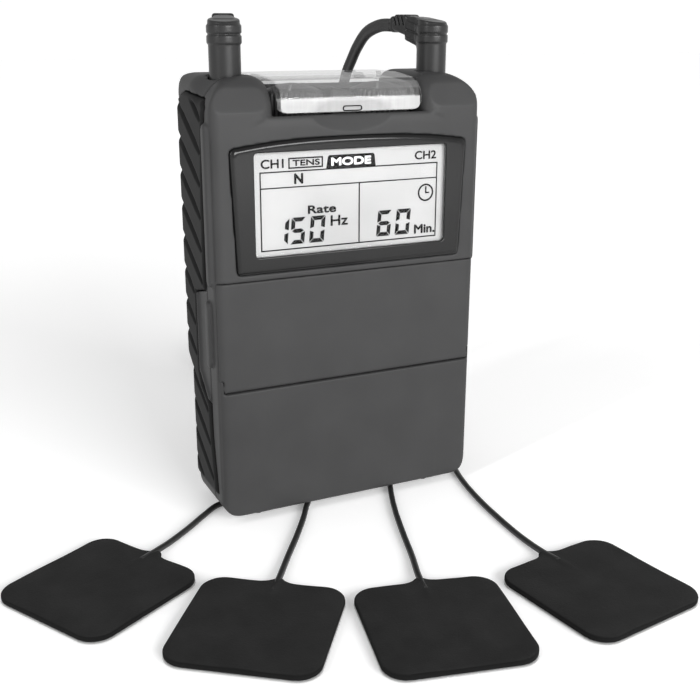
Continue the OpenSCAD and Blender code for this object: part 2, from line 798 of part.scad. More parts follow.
// Right-angle plug: barrel, two collars, arm and ribbed relief that points back and inwards
module plug(s) {
    arm_z = plug_top_z - 1.3;
    color(dark_c)
    translate([s * jack_x, jack_y, 0]) {
        difference() {
            translate([0, 0, jack_top_z - 4.2]) cylinder(h = plug_top_z - jack_top_z + 3.4, r = plug_r);
            translate([0, 0, jack_top_z - 5]) cylinder(h = 6, r = 1);
        }
        translate([0, 0, plug_top_z - 0.85]) cylinder(h = 0.85, r1 = plug_r, r2 = plug_r - 0.9);
        for (z = [-4.2, -2]) translate([0, 0, plug_top_z + z]) cylinder(h = 0.9, r = plug_r + 0.35);
        rotate(s * arm_turn) {
            box([-1.9, 0, plug_top_z - 3.6], [1.9, 7.7, plug_top_z - 0.2]);
            box([-1.5, 2, plug_top_z - 5.6], [1.5, 5.2, plug_top_z - 3.5]);
            for (i = [0 : 3]) box([-1.7, 7.9 + 0.95 * i, arm_z - 1.8], [1.7, 8.5 + 0.95 * i, arm_z + 1.8]);
            box([-1.3, 7.6, arm_z - 1.5], [1.3, 11.5, arm_z + 1.5]);
        }
    }
}

module plug_ch1() { plug(-1); }
module plug_ch2() { plug(1); }

module plug_pins() {
    color([0.85, 0.8, 0.6])
    for (s = [-1, 1]) translate([s * jack_x, jack_y, base_z + 77]) cylinder(h = jack_top_z + 0.5 - base_z - 77, r = 0.95);
}

module lead_ch1() {
    color([0.12, 0.12, 0.12]) {
        tube(lead_1_route, lead_d);
        tube(tail_1_route, lead_d);
    }
}

module lead_ch2() {
    color([0.12, 0.12, 0.12]) {
        tube(lead_2_route, lead_d);
        tube(tail_2_route, lead_d);
    }
}

// Outer shape of one lead wound flat, starting at height z
module coil(z) {
    half = coil_turn * coil_across / 2;
    color([0.12, 0.12, 0.12])
    translate([coil_at[0], coil_at[1], z]) rotate_extrude($fn = 72)
        rounded([coil_r - half, 0], [coil_r + half, coil_h], [1.2, 1.2, 1.2, 1.2]);
}

module coil_ch1() { coil(0); }
module coil_ch2() { coil(coil_h + 0.1); }

module lead_tie() {
    half = coil_turn * coil_across / 2 + 0.3;
    tall = 2 * coil_h + 0.25;
    color([0.15, 0.15, 0.15])
    translate([coil_at[0], coil_at[1] + coil_r, 0])
    difference() {
        box([-2, -half - 0.7, 0], [2, half + 0.7, tall + 0.7]);
        box([-3, -half, -1], [3, half, tall]);
    }
}

module splitter(i) {
    at = splitter_at[i];
    color([0.12, 0.12, 0.12])
        box([at[0] - 2, at[1], 0], [at[0] + 2, at[1] + splitter_len, 2.8]);
}

module splitter_ch1() { splitter(0); }
module splitter_ch2() { splitter(1); }

module single_wire(route) {
    color([0.08, 0.08, 0.08]) tube(route, wire_d);
}

module leg_wire_1() { single_wire(leg_routes[0]); }
module leg_wire_2() { single_wire(leg_routes[1]); }
module leg_wire_3() { single_wire(leg_routes[2]); }
module leg_wire_4() { single_wire(leg_routes[3]); }
module pigtail_1() { single_wire(pigtail_routes[0]); }
module pigtail_2() { single_wire(pigtail_routes[1]); }
module pigtail_3() { single_wire(pigtail_routes[2]); }
module pigtail_4() { single_wire(pigtail_routes[3]); }

// Pin plug on a lead's leg: moulded grip and the metal pin inside the socket
module pin_plug(i) {
    at = socket_at[i];
    y0 = at[1] + socket_len + 0.1;
    rod_y(y0, y0 + pin_len - 0.1, [at[0], plug_body_r], plug_body_r);
    rod_y(y0 - 7, y0 + 1, [at[0], plug_body_r], 0.95);
}

module pin_plugs_red() {
    color([0.6, 0.08, 0.08]) for (i = [0, 2]) pin_plug(i);
}

module pin_plugs_black() {
    color([0.1, 0.1, 0.1]) for (i = [1, 3]) pin_plug(i);
}

module pad_sockets() {
    color([0.1, 0.1, 0.1])
    for (at = socket_at)
        difference() {
            rod_y(at[1], at[1] + socket_len, [at[0], plug_body_r], plug_body_r);
            rod_y(at[1] + 1.5, at[1] + socket_len + 1, [at[0], plug_body_r], 1);
        }
}

// ---------- electrode pads ----------

module pad_square(grow, z, t) {
    half = pad_side / 2 + grow;
    translate([0, 0, z]) linear_extrude(t)
        rounded([-half, -half], [half, half], [4.5, 4.5, 4.5, 4.5]);
}

module on_pad(i) {
    translate([pad_at[i][0], pad_at[i][1], 0]) rotate(pad_at[i][2]) children();
}

// Backing with the raised neck that holds the wire; the wire leaves along local +X
module pad(i) {
    z = liner_t + gel_t;
    color([0.16, 0.16, 0.17])
    on_pad(i) difference() {
        union() {
            pad_square(0, z, pad_t);
            box([pad_side / 2 - 6, -1.3, z], [pad_side / 2 + 0.2, 1.3, z + pad_t + 0.7]);
        }
        translate([pad_side / 2 - 3.4, 0, 1.4]) rotate([0, 90, 0]) cylinder(h = 5, r = wire_d / 2 + 0.1);
    }
}

module pad_1() { pad(0); }
module pad_2() { pad(1); }
module pad_3() { pad(2); }
module pad_4() { pad(3); }

module pad_gels() {
    color([0.5, 0.6, 0.65]) for (i = [0 : 3]) on_pad(i) pad_square(-0.3, liner_t, gel_t);
}

module pad_liners() {
    color([0.8, 0.85, 0.9]) for (i = [0 : 3]) on_pad(i) pad_square(0.2, 0, liner_t);
}

// ---------- output ----------

front_shell();
back_shell();
left_grip();
right_grip();
display_bezel();
display_window();
lcd_panel();
lcd_connectors();
control_door();
button_mode();
button_set();
button_up();
button_down();
keypad_sheet();
circuit_board();
transformer_ch1();
transformer_ch2();
jack_ch1();
jack_ch2();
potentiometer_ch1();
potentiometer_ch2();
knob_ch1();
knob_ch2();
knob_guard();
battery();
battery_contacts();
battery_door();
belt_clip();
clip_pin();
clip_spring();
case_screws();
board_screws();
plug_ch1();
plug_ch2();
plug_pins();
lead_ch1();
lead_ch2();
coil_ch1();
coil_ch2();
lead_tie();
splitter_ch1();
splitter_ch2();
leg_wire_1();
leg_wire_2();
leg_wire_3();
leg_wire_4();
pigtail_1();
pigtail_2();
pigtail_3();
pigtail_4();
pin_plugs_red();
pin_plugs_black();
pad_sockets();
pad_1();
pad_2();
pad_3();
pad_4();
pad_gels();
pad_liners();
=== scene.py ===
"""Looks of a pocket TENS unit with two leads and four electrode pads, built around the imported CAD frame."""

import functools
import math

import bmesh
import bpy
import numpy as np
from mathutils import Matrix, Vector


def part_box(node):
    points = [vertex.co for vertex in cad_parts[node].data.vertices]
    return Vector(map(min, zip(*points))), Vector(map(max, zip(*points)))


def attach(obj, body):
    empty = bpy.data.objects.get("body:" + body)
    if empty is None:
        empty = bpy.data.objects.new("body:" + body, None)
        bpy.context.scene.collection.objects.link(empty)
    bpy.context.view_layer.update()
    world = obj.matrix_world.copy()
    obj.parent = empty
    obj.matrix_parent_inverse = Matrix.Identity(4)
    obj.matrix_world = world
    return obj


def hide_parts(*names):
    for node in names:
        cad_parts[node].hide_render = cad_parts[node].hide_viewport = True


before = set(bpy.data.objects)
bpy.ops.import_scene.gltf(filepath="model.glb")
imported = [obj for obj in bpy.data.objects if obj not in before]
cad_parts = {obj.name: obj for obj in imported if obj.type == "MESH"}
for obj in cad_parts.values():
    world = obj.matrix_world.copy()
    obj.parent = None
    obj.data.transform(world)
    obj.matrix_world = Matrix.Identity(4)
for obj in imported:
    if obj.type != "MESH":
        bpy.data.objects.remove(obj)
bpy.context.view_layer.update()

import openvdb
from mathutils import Matrix, Vector

MM = 0.001
WHITE = (1, 1, 1, 1)
scene = bpy.context.scene


# ---------- camera, lights, floor ----------

# Strength of the world from the horizon up, over a span of the direction's upward share
SKY_LOW, SKY_HIGH = 1.02, 0.37
SKY_SPAN = (0.06, 0.85)
# Glow of the floor, over a span of the distance from the unit in metres
GLOW_NEAR, GLOW_FAR = 0.22, 0.5
GLOW_SPAN = (0.12, 0.5)
FLOOR_HALF = 3.0
# Name, place, aimed at, width, watts, height; metres
LIGHTS = (
    ("front", (0.15, -0.75, 0.30), (0, 0, 0.05), 0.5, 7.0, 0.3),
    ("edge", (-0.66, -0.26, 0.42), (-0.02, 0, 0.08), 0.03, 1.9, 0.6),
)

CAMERA_AZIMUTH = -25.591
CAMERA_ELEVATION = 17.793
CAMERA_ROLL = 0.178
CAMERA_DISTANCE = 242.041
CAMERA_SLIDE = (4.747, 29.875)  # to the right and up, in mm
FOOT_H = 1.6
LENS = 52.32


def build_camera():
    azimuth, elevation, roll = (math.radians(v) for v in (CAMERA_AZIMUTH, CAMERA_ELEVATION, CAMERA_ROLL))
    flat = math.cos(elevation)
    back = Vector((math.sin(azimuth) * flat, -math.cos(azimuth) * flat, math.sin(elevation)))
    level = Vector((math.cos(azimuth), math.sin(azimuth), 0))
    upright = back.cross(level)
    right = level * math.cos(roll) + upright * math.sin(roll)
    up = -level * math.sin(roll) + upright * math.cos(roll)
    place = back * CAMERA_DISTANCE + right * CAMERA_SLIDE[0] + up * CAMERA_SLIDE[1] + Vector((0, 0, FOOT_H))
    data = bpy.data.cameras.new("camera")
    data.lens = LENS
    data.clip_start = 0.01
    camera = bpy.data.objects.new("camera", data)
    turn = Matrix((right, up, back)).transposed().to_4x4()
    camera.matrix_world = Matrix.Translation(place * MM) @ turn
    scene.collection.objects.link(camera)
    scene.camera = camera


def area_light(name, place, aim, width, watts, height):
    data = bpy.data.lights.new(name, "AREA")
    data.energy = watts
    data.shape = "RECTANGLE"
    data.size = width
    data.size_y = height
    light = bpy.data.objects.new(name, data)
    light.location = place
    light.rotation_euler = (Vector(aim) - Vector(place)).to_track_quat("-Z", "Y").to_euler()
    scene.collection.objects.link(light)


def build_stage():
    # White at the horizon, dimmer overhead, as in a studio tent open to the front
    world = bpy.data.worlds.new("studio")
    world.use_nodes = True
    up = add(world, "SeparateXYZ", i0=add(world, "TexCoord").outputs["Generated"]).outputs["Z"]
    strength = ranged(world, up, SKY_SPAN, (SKY_LOW, SKY_HIGH))
    put(world, world.node_tree.nodes["Background"], Color=WHITE, Strength=strength)
    scene.world = world
    scene.view_settings.view_transform = "Standard"
    mesh = bpy.data.meshes.new("floor")
    corners = [(x * FLOOR_HALF, y * FLOOR_HALF, 0) for x, y in ((-1, -1), (1, -1), (1, 1), (-1, 1))]
    mesh.from_pydata(corners, [], [(0, 1, 2, 3)])
    floor = bpy.data.objects.new("floor", mesh)
    scene.collection.objects.link(floor)
    floor.location.z = -0.00005
    material, shader = blank("floor", 0.7, (0.9, 0.9, 0.9), Specular_IOR_Level=0.2)
    vary_roughness(material, shader, 0.6, 0.8, texture(material, "TexNoise", 8, 3))
    # Near the unit the floor keeps its soft shadows; further out it fades to white
    place_on_floor = add(material, "TexCoord").outputs["Object"]
    reach = add(material, "VectorMath", {"operation": "LENGTH"}, i0=place_on_floor).outputs["Value"]
    glow = ranged(material, reach, GLOW_SPAN, (GLOW_NEAR, GLOW_FAR))
    put(material, shader, Emission_Color=WHITE, Emission_Strength=glow)
    mesh.materials.append(material)
    for light in LIGHTS:
        area_light(*light)


# ---------- materials ----------

PAD_LEVEL = 32
# Height where the guard's painted reflection of the front lamp fades in, and the share of a pale diffuse
# layer above it (a faint haze) and below it (the painted reflection), in metres;
# half width, half height and middle of the painted shade arch of the scoop in it
REFLECTION_BAND_TOP, HAZE_AND_REFLECTION_SHARE = (0.0901, 0.0896), (0.09, 0.62)
SCOOP_SHADE_ARCH = (0.0097, 0.0036, 0.0868)


def put(owner, made, **inputs):
    """Sets a node's sockets by name, or as i0, i1 and so on by number; an output given as value is linked."""
    for key, value in inputs.items():
        socket = made.inputs[int(key[1:]) if key[1:].isdigit() else key.replace("_", " ")]
        if isinstance(value, bpy.types.NodeSocket):
            owner.node_tree.links.new(value, socket)
        else:
            socket.default_value = value
    return made


def add(owner, kind, settings=None, **inputs):
    made = owner.node_tree.nodes.new("ShaderNode" + kind)
    for key, value in (settings or {}).items():
        setattr(made, key, value)
    return put(owner, made, **inputs)


def ranged(owner, value, before=(0, 1), after=(0, 1), settings=None):
    """Takes a value from one span to another."""
    made = add(
        owner, "MapRange", settings, Value=value, From_Min=before[0], From_Max=before[1], To_Min=after[0],
        To_Max=after[1])
    return made.outputs["Result"]


def product(owner, a, b):
    return add(owner, "Math", {"operation": "MULTIPLY"}, i0=a, i1=b).outputs[0]


def blank(name, roughness=0.5, color=(0.5, 0.5, 0.5), **sockets):
    material = bpy.data.materials.new(name)
    material.use_nodes = True
    shader = material.node_tree.nodes["Principled BSDF"]
    put(material, shader, Base_Color=(*color, 1), Roughness=roughness, **sockets)
    return material, shader


def grey(level):
    """Linear value of an sRGB level from 0 to 255."""
    level = level / 255
    return level / 12.92 if level <= 0.04045 else ((level + 0.055) / 1.055) ** 2.4


def texture(material, kind, scale, detail=2.0):
    """A texture on the piece's own position, scale in repeats per metre."""
    made = add(material, kind, Scale=scale, Vector=add(material, "TexCoord").outputs["Object"])
    if "Detail" in made.inputs:
        made.inputs["Detail"].default_value = detail
    return made.outputs[0]


def vary_color(material, shader, dark, light, cloud):
    ramp = add(material, "ValToRGB", Fac=cloud)
    for element, position, color in zip(ramp.color_ramp.elements, (0.3, 0.7), (dark, light)):
        element.position = position
        element.color = (*color, 1)
    put(material, shader, Base_Color=ramp.outputs["Color"])
    return ramp.outputs["Color"]


def vary_roughness(material, shader, low, high, cloud):
    put(material, shader, Roughness=ranged(material, cloud, after=(low, high)))


def add_bump(material, shader, *layers):
    """Bump from one or more (texture, height in mm) layers."""
    normal = None
    for cloud, height in layers:
        bump = add(material, "Bump", Strength=1.0, Distance=height * MM, Height=cloud)
        if normal is not None:
            put(material, bump, Normal=normal)
        normal = bump.outputs["Normal"]
    put(material, shader, Normal=normal)


def moulded(name, level, roughness=0.5, grain=0.012, spread=6, tint=(1, 1, 1.01), shine=0.16):
    """Injection-moulded plastic with a fine spark-eroded grain and slightly uneven gloss."""
    material, shader = blank(name, roughness, Specular_IOR_Level=shine)
    cloud = texture(material, "TexNoise", 90, 4)
    dark, light = ([grey(level + half * spread) * t for t in tint] for half in (-0.5, 0.5))
    vary_color(material, shader, dark, light, cloud)
    vary_roughness(material, shader, roughness - 0.06, roughness + 0.06, cloud)
    fine, coarse = texture(material, "TexNoise", 4200, 2), texture(material, "TexNoise", 1500, 1)
    add_bump(material, shader, (fine, grain), (coarse, grain))
    return material


def metal(name, color, roughness):
    material, shader = blank(name, roughness, color, Metallic=1.0)
    fine = texture(material, "TexNoise", 1500, 3)
    vary_roughness(material, shader, roughness - 0.08, roughness + 0.12, fine)
    add_bump(material, shader, (fine, 0.004))
    return material


def see_through(name, tint, roughness, share, ior):
    """A material and its clear shader, with a gloss that grows towards grazing angles."""
    material, shader = blank(name)
    material.node_tree.nodes.remove(shader)
    part = product(material, add(material, "Fresnel", IOR=ior).outputs[0], share)
    through = add(material, "BsdfTransparent", Color=(tint, tint, tint, 1)).outputs[0]
    gloss = add(material, "BsdfGlossy", Roughness=roughness).outputs[0]
    return material, add(material, "MixShader", i0=part, i1=through, i2=gloss).outputs[0]


def clear_plastic(name, tint=0.96, roughness=0.04, share=0.35):
    material, surface = see_through(name, tint, roughness, share, 1.49)
    put(material, material.node_tree.nodes["Material Output"], Surface=surface)
    return material


def guard_painted_reflection():
    """Clear plastic with a painted reflection: a pale diffuse band low on its front stands in for the front
    lamp's reflection, with a faint haze above it and faint moulding streaks.
    """
    material, clear_surface = see_through("guard_painted_reflection", 0.97, 0.05, 0.3, 1.5)
    spot = add(material, "TexCoord").outputs["Object"]
    height = add(material, "SeparateXYZ", i0=spot).outputs["Z"]
    # Painted reflection: below the fade height a pale band stands in for the front lamp's reflection on the
    # guard
    band = ranged(material, height, REFLECTION_BAND_TOP, HAZE_AND_REFLECTION_SHARE, {"interpolation_type": "SMOOTHSTEP"})
    stretched = add(material, "Mapping", Vector=spot, Scale=(900, 0, 12)).outputs[0]
    streak = add(material, "TexNoise", Scale=1.0, Vector=stretched).outputs[0]
    # Painted shade: the scoop behind shows as a darker arch, with less of the painted reflection in front of
    # it
    half_wide, half_high, arch_z = SCOOP_SHADE_ARCH
    shift, scale = (0, 0, -arch_z / half_high), (1 / half_wide, 0, 1 / half_high)
    arch = add(material, "Mapping", Vector=spot, Location=shift, Scale=scale)
    span = add(material, "VectorMath", {"operation": "LENGTH"}, i0=arch.outputs[0]).outputs["Value"]
    scoop_shade = ranged(material, span, (0.8, 1.05), (0.72, 1.0))
    haze_and_reflection_amount = product(material, band, product(material, ranged(material, streak, after=(0.85, 1.15)), scoop_shade))
    # Pale diffuse layer that carries the painted reflection and the haze
    haze_and_painted_reflection = add(material, "BsdfDiffuse", Color=(0.55, 0.55, 0.55, 1)).outputs[0]
    whole = add(material, "MixShader", i0=haze_and_reflection_amount, i1=clear_surface, i2=haze_and_painted_reflection).outputs[0]
    put(material, material.node_tree.nodes["Material Output"], Surface=whole)
    return material


def rubber_cord(name, level):
    material, shader = blank(name, 0.42, Specular_IOR_Level=0.4)
    cloud = texture(material, "TexNoise", 260, 3)
    vary_color(material, shader, (grey(level - 5),) * 3, (grey(level + 5),) * 3, cloud)
    vary_roughness(material, shader, 0.36, 0.5, cloud)
    add_bump(material, shader, (texture(material, "TexNoise", 2500, 2), 0.008))
    return material


def pad_cloth():
    """Close-knit backing with a soft nap; its colour darkens on faces that turn away from upward, so the edge
    is darker than the face.
    """
    material, shader = blank(
        "pad_cloth", 0.9, Specular_IOR_Level=0.06, Sheen_Weight=0.02, Sheen_Roughness=0.6)
    cloud = texture(material, "TexNoise", 160, 5)
    face = vary_color(material, shader, (grey(PAD_LEVEL - 3),) * 3, (grey(PAD_LEVEL + 4),) * 3, cloud)
    # Colour by facing: darker where the surface turns from upward
    normal = add(material, "NewGeometry").outputs["True Normal"]
    upwards = ranged(material, add(material, "SeparateXYZ", i0=normal).outputs["Z"], (0.55, 0.9))
    mix = add(material, "Mix", {"data_type": "RGBA"}, i0=upwards, i6=(*(grey(16),) * 3, 1), i7=face)
    put(material, shader, Base_Color=mix.outputs[2])
    stitch, nap = texture(material, "TexVoronoi", 2600), texture(material, "TexNoise", 900, 4)
    add_bump(material, shader, (stitch, 0.04), (nap, 0.05))
    return material


def battery_jacket():
    """Two colours met at a straight line across the battery, scuffed."""
    material, shader = blank("battery_jacket", 0.35, Specular_IOR_Level=0.5)
    spot = add(material, "TexCoord").outputs["Object"]
    along = ranged(material, add(material, "SeparateXYZ", i0=spot).outputs["X"], (-0.024, 0.0224))
    ramp = add(material, "ValToRGB", Fac=along)
    ramp.color_ramp.interpolation = "CONSTANT"
    dark_end, body = ramp.color_ramp.elements
    dark_end.color = (0.03, 0.03, 0.035, 1)
    body.position = 0.3
    body.color = (0.12, 0.2, 0.42, 1)
    put(material, shader, Base_Color=ramp.outputs["Color"])
    scuff = texture(material, "TexNoise", 300, 4)
    vary_roughness(material, shader, 0.25, 0.5, scuff)
    add_bump(material, shader, (scuff, 0.01))
    return material


def lcd_look():
    material, shader = blank("lcd_panel", 0.35, Specular_IOR_Level=0.2)
    vary_color(material, shader, (0.35,) * 3, (0.46,) * 3, texture(material, "TexNoise", 45, 2))
    # Painted light: a faint glow lifts the panel where its recess shades it
    put(material, shader, Emission_Color=WHITE, Emission_Strength=0.06)
    add_bump(material, shader, (texture(material, "TexNoise", 5000, 1), 0.003))
    return material


def board_look():
    material, shader = blank("board", 0.3, Specular_IOR_Level=0.5)
    traces = texture(material, "TexVoronoi", 400)
    vary_color(material, shader, (0.01, 0.09, 0.03), (0.03, 0.2, 0.07), traces)
    add_bump(material, shader, (traces, 0.03))
    return material


def dress(name, material, bevel=0.2):
    """A CAD piece kept as it is, with eased edges and its own finish."""
    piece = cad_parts[name]
    piece.data.materials.clear()
    piece.data.materials.append(material)
    if bevel:
        ease = piece.modifiers.new("ease", "BEVEL")
        ease.width = bevel * MM
        ease.segments = 2
        ease.limit_method = "ANGLE"


# ---------- shapes from distance fields, in mm ----------

def smax(a, b, k):
    """Intersection with an edge rounded over about k."""
    return np.maximum(a, b) + np.maximum(k - np.abs(a - b), 0) ** 2 / (4 * k)


def smin(a, b, k):
    """Union with a fillet of about k."""
    return np.minimum(a, b) - np.maximum(k - np.abs(a - b), 0) ** 2 / (4 * k)


def all_of(*fields):
    return functools.reduce(np.maximum, fields)


def any_of(*fields):
    return functools.reduce(np.minimum, fields)


def slab(u, low, high):
    return np.maximum(low - u, u - high)


def rod(u, v, centre, r):
    return np.hypot(u - centre[0], v - centre[1]) - r


def rounded_rect(u, v, low, high, radii):
    """Distance to a rectangle. Radii: one for all corners, or low left, low right, high right, high left."""
    if np.isscalar(radii):
        radii = (radii,) * 4
    middle = [(low[i] + high[i]) / 2 for i in (0, 1)]
    half = [(high[i] - low[i]) / 2 for i in (0, 1)]
    pu, pv = u - middle[0], v - middle[1]
    r = np.where(pu > 0, np.where(pv > 0, radii[2], radii[1]), np.where(pv > 0, radii[3], radii[0]))
    qu, qv = np.abs(pu) - half[0] + r, np.abs(pv) - half[1] + r
    return np.hypot(np.maximum(qu, 0), np.maximum(qv, 0)) + np.minimum(np.maximum(qu, qv), 0) - r


def capsule(u, v, a, b, r):
    """Distance to a straight bar with round ends."""
    du, dv = b[0] - a[0], b[1] - a[1]
    t = np.clip(((u - a[0]) * du + (v - a[1]) * dv) / (du * du + dv * dv), 0, 1)
    return np.hypot(u - a[0] - t * du, v - a[1] - t * dv) - r


def outline(u, v, points):
    """Distance to a closed polygon."""
    nearest = np.inf
    inside = np.zeros(np.broadcast(u, v).shape, bool)
    for a, b in zip(points, points[1:] + points[:1]):
        nearest = np.minimum(nearest, capsule(u, v, a, b, 0))
        if a[1] != b[1]:
            at = a[0] + (v - a[1]) * (b[0] - a[0]) / (b[1] - a[1])
            inside ^= ((a[1] > v) != (b[1] > v)) & (u < at)
    return np.where(inside, -nearest, nearest)


def box_field(b, low, high, r=0.0):
    sides = [
        np.abs(axis - (low[i] + high[i]) / 2) - (high[i] - low[i]) / 2 + r
        for i, axis in enumerate((b.x, b.y, b.z))]
    outside = np.sqrt(sum(np.maximum(s, 0) ** 2 for s in sides))
    return outside + np.minimum(np.maximum(np.maximum(sides[0], sides[1]), sides[2]), 0) - r


class Block:
    """A grid of sample points round a piece, in mm."""

    def __init__(self, low, high, step):
        self.low = np.array(low, float)
        self.step = step
        counts = np.ceil((np.array(high) - self.low) / step).astype(int) + 1
        axes = [(self.low[i] + step * np.arange(counts[i])).astype(np.float32) for i in range(3)]
        self.x = axes[0][:, None, None]
        self.y = axes[1][None, :, None]
        self.z = axes[2][None, None, :]
        self.shape = tuple(counts)

    def mesh(self, name, distance, material, adaptivity=0.0):
        band = 3 * self.step
        field = np.clip(np.broadcast_to(distance, self.shape), -band, band).astype(np.float32)
        grid = openvdb.FloatGrid(band)
        grid.copyFromArray(np.ascontiguousarray(field))
        points, triangles, quads = grid.convertToPolygons(isovalue=0, adaptivity=adaptivity)
        points = (points * self.step + self.low) * MM
        return mesh_piece(name, points, triangles, quads, material)


def mesh_piece(name, points, triangles, quads, material):
    mesh = bpy.data.meshes.new(name)
    triangles = np.asarray(triangles, dtype=np.int64).reshape(-1, 3)[:, ::-1]
    quads = np.asarray(quads, dtype=np.int64).reshape(-1, 4)[:, ::-1]
    corners = np.concatenate([triangles.ravel(), quads.ravel()])
    sizes = np.concatenate([np.full(len(triangles), 3), np.full(len(quads), 4)])
    mesh.vertices.add(len(points))
    mesh.vertices.foreach_set("co", np.asarray(points, dtype=np.float32).ravel())
    mesh.loops.add(len(corners))
    mesh.loops.foreach_set("vertex_index", corners.astype(np.int32))
    mesh.polygons.add(len(sizes))
    mesh.polygons.foreach_set("loop_start", (np.cumsum(sizes) - sizes).astype(np.int32))
    mesh.polygons.foreach_set("use_smooth", np.ones(len(sizes), bool))
    mesh.update(calc_edges=True)
    mesh.validate()
    made = bpy.data.objects.new(name, mesh)
    scene.collection.objects.link(made)
    mesh.materials.append(material)
    return made


# ---------- tubes and turned pieces, in mm ----------

def blend(a, b, low, high, t):
    return ((high - t) * a + (t - low) * b) / (high - low)


def smooth_path(points, gap):
    """Points every gap mm along a smooth curve (centripetal Catmull-Rom) through the given ones."""
    p = np.array(points, float)
    p = np.vstack([2 * p[0] - p[1], p, 2 * p[-1] - p[-2]])
    dense = []
    for a, b, c, d in zip(p, p[1:], p[2:], p[3:]):
        t1, t2, t3 = np.cumsum([np.linalg.norm(step) ** 0.5 for step in (b - a, c - b, d - c)])
        for t in np.linspace(t1, t2, 12, endpoint=False):
            a1, a2, a3 = blend(a, b, 0, t1, t), blend(b, c, t1, t2, t), blend(c, d, t2, t3, t)
            dense.append(blend(blend(a1, a2, 0, t2, t), blend(a2, a3, t1, t3, t), t1, t2, t))
    dense = np.array(dense + [p[-2]])
    run = run_along(dense)
    marks = np.linspace(0, run[-1], max(2, int(round(run[-1] / gap))) + 1)
    return np.stack([np.interp(marks, run, dense[:, i]) for i in range(3)], 1)


def run_along(path):
    """Distance from the start at each point of a path."""
    return np.concatenate([[0], np.cumsum(np.linalg.norm(np.diff(path, axis=0), axis=1))])


def tube(name, rings, tips, material, flip=False):
    """A skin over rings of points, shape (count, sides, 3), with a fan from each tip to the end rings."""
    count, sides = rings.shape[:2]
    k = np.arange(sides)
    n = (k + 1) % sides
    row = np.arange(count - 1)[:, None] * sides
    quads = np.stack([row + k, row + n, row + sides + n, row + sides + k], -1).reshape(-1, 4)
    first, last = count * sides, (count - 1) * sides
    fans = [
        np.stack([np.full(sides, first), n, k], 1),
        np.stack([np.full(sides, first + 1), last + k, last + n], 1)]
    points = np.concatenate([rings.reshape(-1, 3), tips]) * MM
    turn = -1 if flip else 1
    return mesh_piece(name, points, np.concatenate(fans)[:, ::turn], quads[:, ::turn], material)


def sweep(name, path, section, flat_way, material):
    """Tube along path. section is a closed outline (wide, thick); flat_way gives the thickness direction."""
    heading = np.gradient(path, axis=0)
    heading /= np.linalg.norm(heading, axis=1)[:, None]
    thick = flat_way - (flat_way * heading).sum(1)[:, None] * heading
    thick /= np.linalg.norm(thick, axis=1)[:, None]
    wide = np.cross(thick, heading)
    rings = path[:, None] + section[None, :, :1] * wide[:, None] + section[None, :, 1:] * thick[:, None]
    return tube(name, rings, path[[0, -1]], material)


def round_section(d, sides=14):
    turn = np.linspace(0, 2 * math.pi, sides, endpoint=False)
    return np.stack([np.cos(turn), np.sin(turn)], 1) * d / 2


def twin_section(width, thick, sides=26):
    """Outline of two joined strands lying side by side, with a groove between them."""
    turn = np.linspace(0, 2 * math.pi, sides, endpoint=False)
    u = np.cos(turn) * width / 2
    strand = thick / 2
    off = np.abs(u) - (width / 2 - strand)
    v = np.sqrt(np.maximum(strand ** 2 - off ** 2, 0))
    v = np.maximum(v, strand * 0.45) * (np.abs(u) < width / 2 - 0.02)
    return np.stack([u, v * np.sign(np.sin(turn))], 1)


def turned(name, rings, centre, axis, material, sides):
    """Solid of revolution about X or Y: rings are (radius, height) pairs from one end to the other."""
    turn = np.linspace(0, 2 * math.pi, sides, endpoint=False)
    r, h = np.array(rings).T[:, :, None]
    shape = np.stack([r * np.cos(turn), r * np.sin(turn), h + 0 * turn], -1)
    tips = np.array([(0, 0, h[0, 0]), (0, 0, h[-1, 0])])
    order = {"x": (2, 0, 1), "y": (1, 2, 0)}[axis]
    return tube(name, shape[..., order] + centre, tips[:, order] + centre, material, flip=True)


# ---------- pieces and the CAD frame ----------

def cad_extent(name):
    low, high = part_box(name)
    return np.array(low) / MM, np.array(high) / MM


def middle(name):
    low, high = cad_extent(name)
    return (low + high) / 2


def mirror_x(name, source):
    """A second piece, mirrored across the middle plane."""
    mesh = source.data.copy()
    made = bpy.data.objects.new(name, mesh)
    scene.collection.objects.link(made)
    mesh.transform(Matrix.Diagonal((-1, 1, 1, 1)))
    mesh.flip_normals()
    return made


def place(obj, slot_name, *nodes, body="unit"):
    """Hides the CAD nodes that the piece stands for and hangs the piece on the body that it rides; slot_name
    is not used.
    """
    if nodes:
        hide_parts(*nodes)
    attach(obj, body)
    return obj


# ---------- housing ----------

SHELL_STEP = 0.41
FRONT_STEP = 0.335
HALF_W = 30.5
FRONT_Y, BACK_Y = -12.25, 12.25
BASE_Z, TOP_Z = 1.6, 94.6
BAY_Y, BAY_Z = 9.9, 31.4
HATCH_X, HATCH_TOP, HATCH_AXIS = 24, 31.0, (9.0, 4.7)
PART_Y = -6.0
WALL = 1.8
NOTCH_X = 16.5
NOTCH_FLOOR, NOTCH_LIP, NOTCH_BACK = 84.5, 86.6, 91.5
DECK_Y = -9.35
DOOR_X, DOOR_AXIS = 29.25, (-10.95, 31.85)
SEAM = 0.07
WING_Y, WING_Z = -10.85, 33.3
SEAM_LOW, SEAM_HIGH = 30.47, 54.03
JACK_X, JACK_Y, JACK_Z = 23.5, -2.0, 88.4
CASE_SCREWS = [(s * 25.8, z) for s in (-1, 1) for z in (34.6, 68.6)]
CLIP_AXIS, CLIP_BACK = (15.8, 83.1), 18.7
GUARD_AXIS = (10.2, 93.2)
GRIP_REACH = 24.7
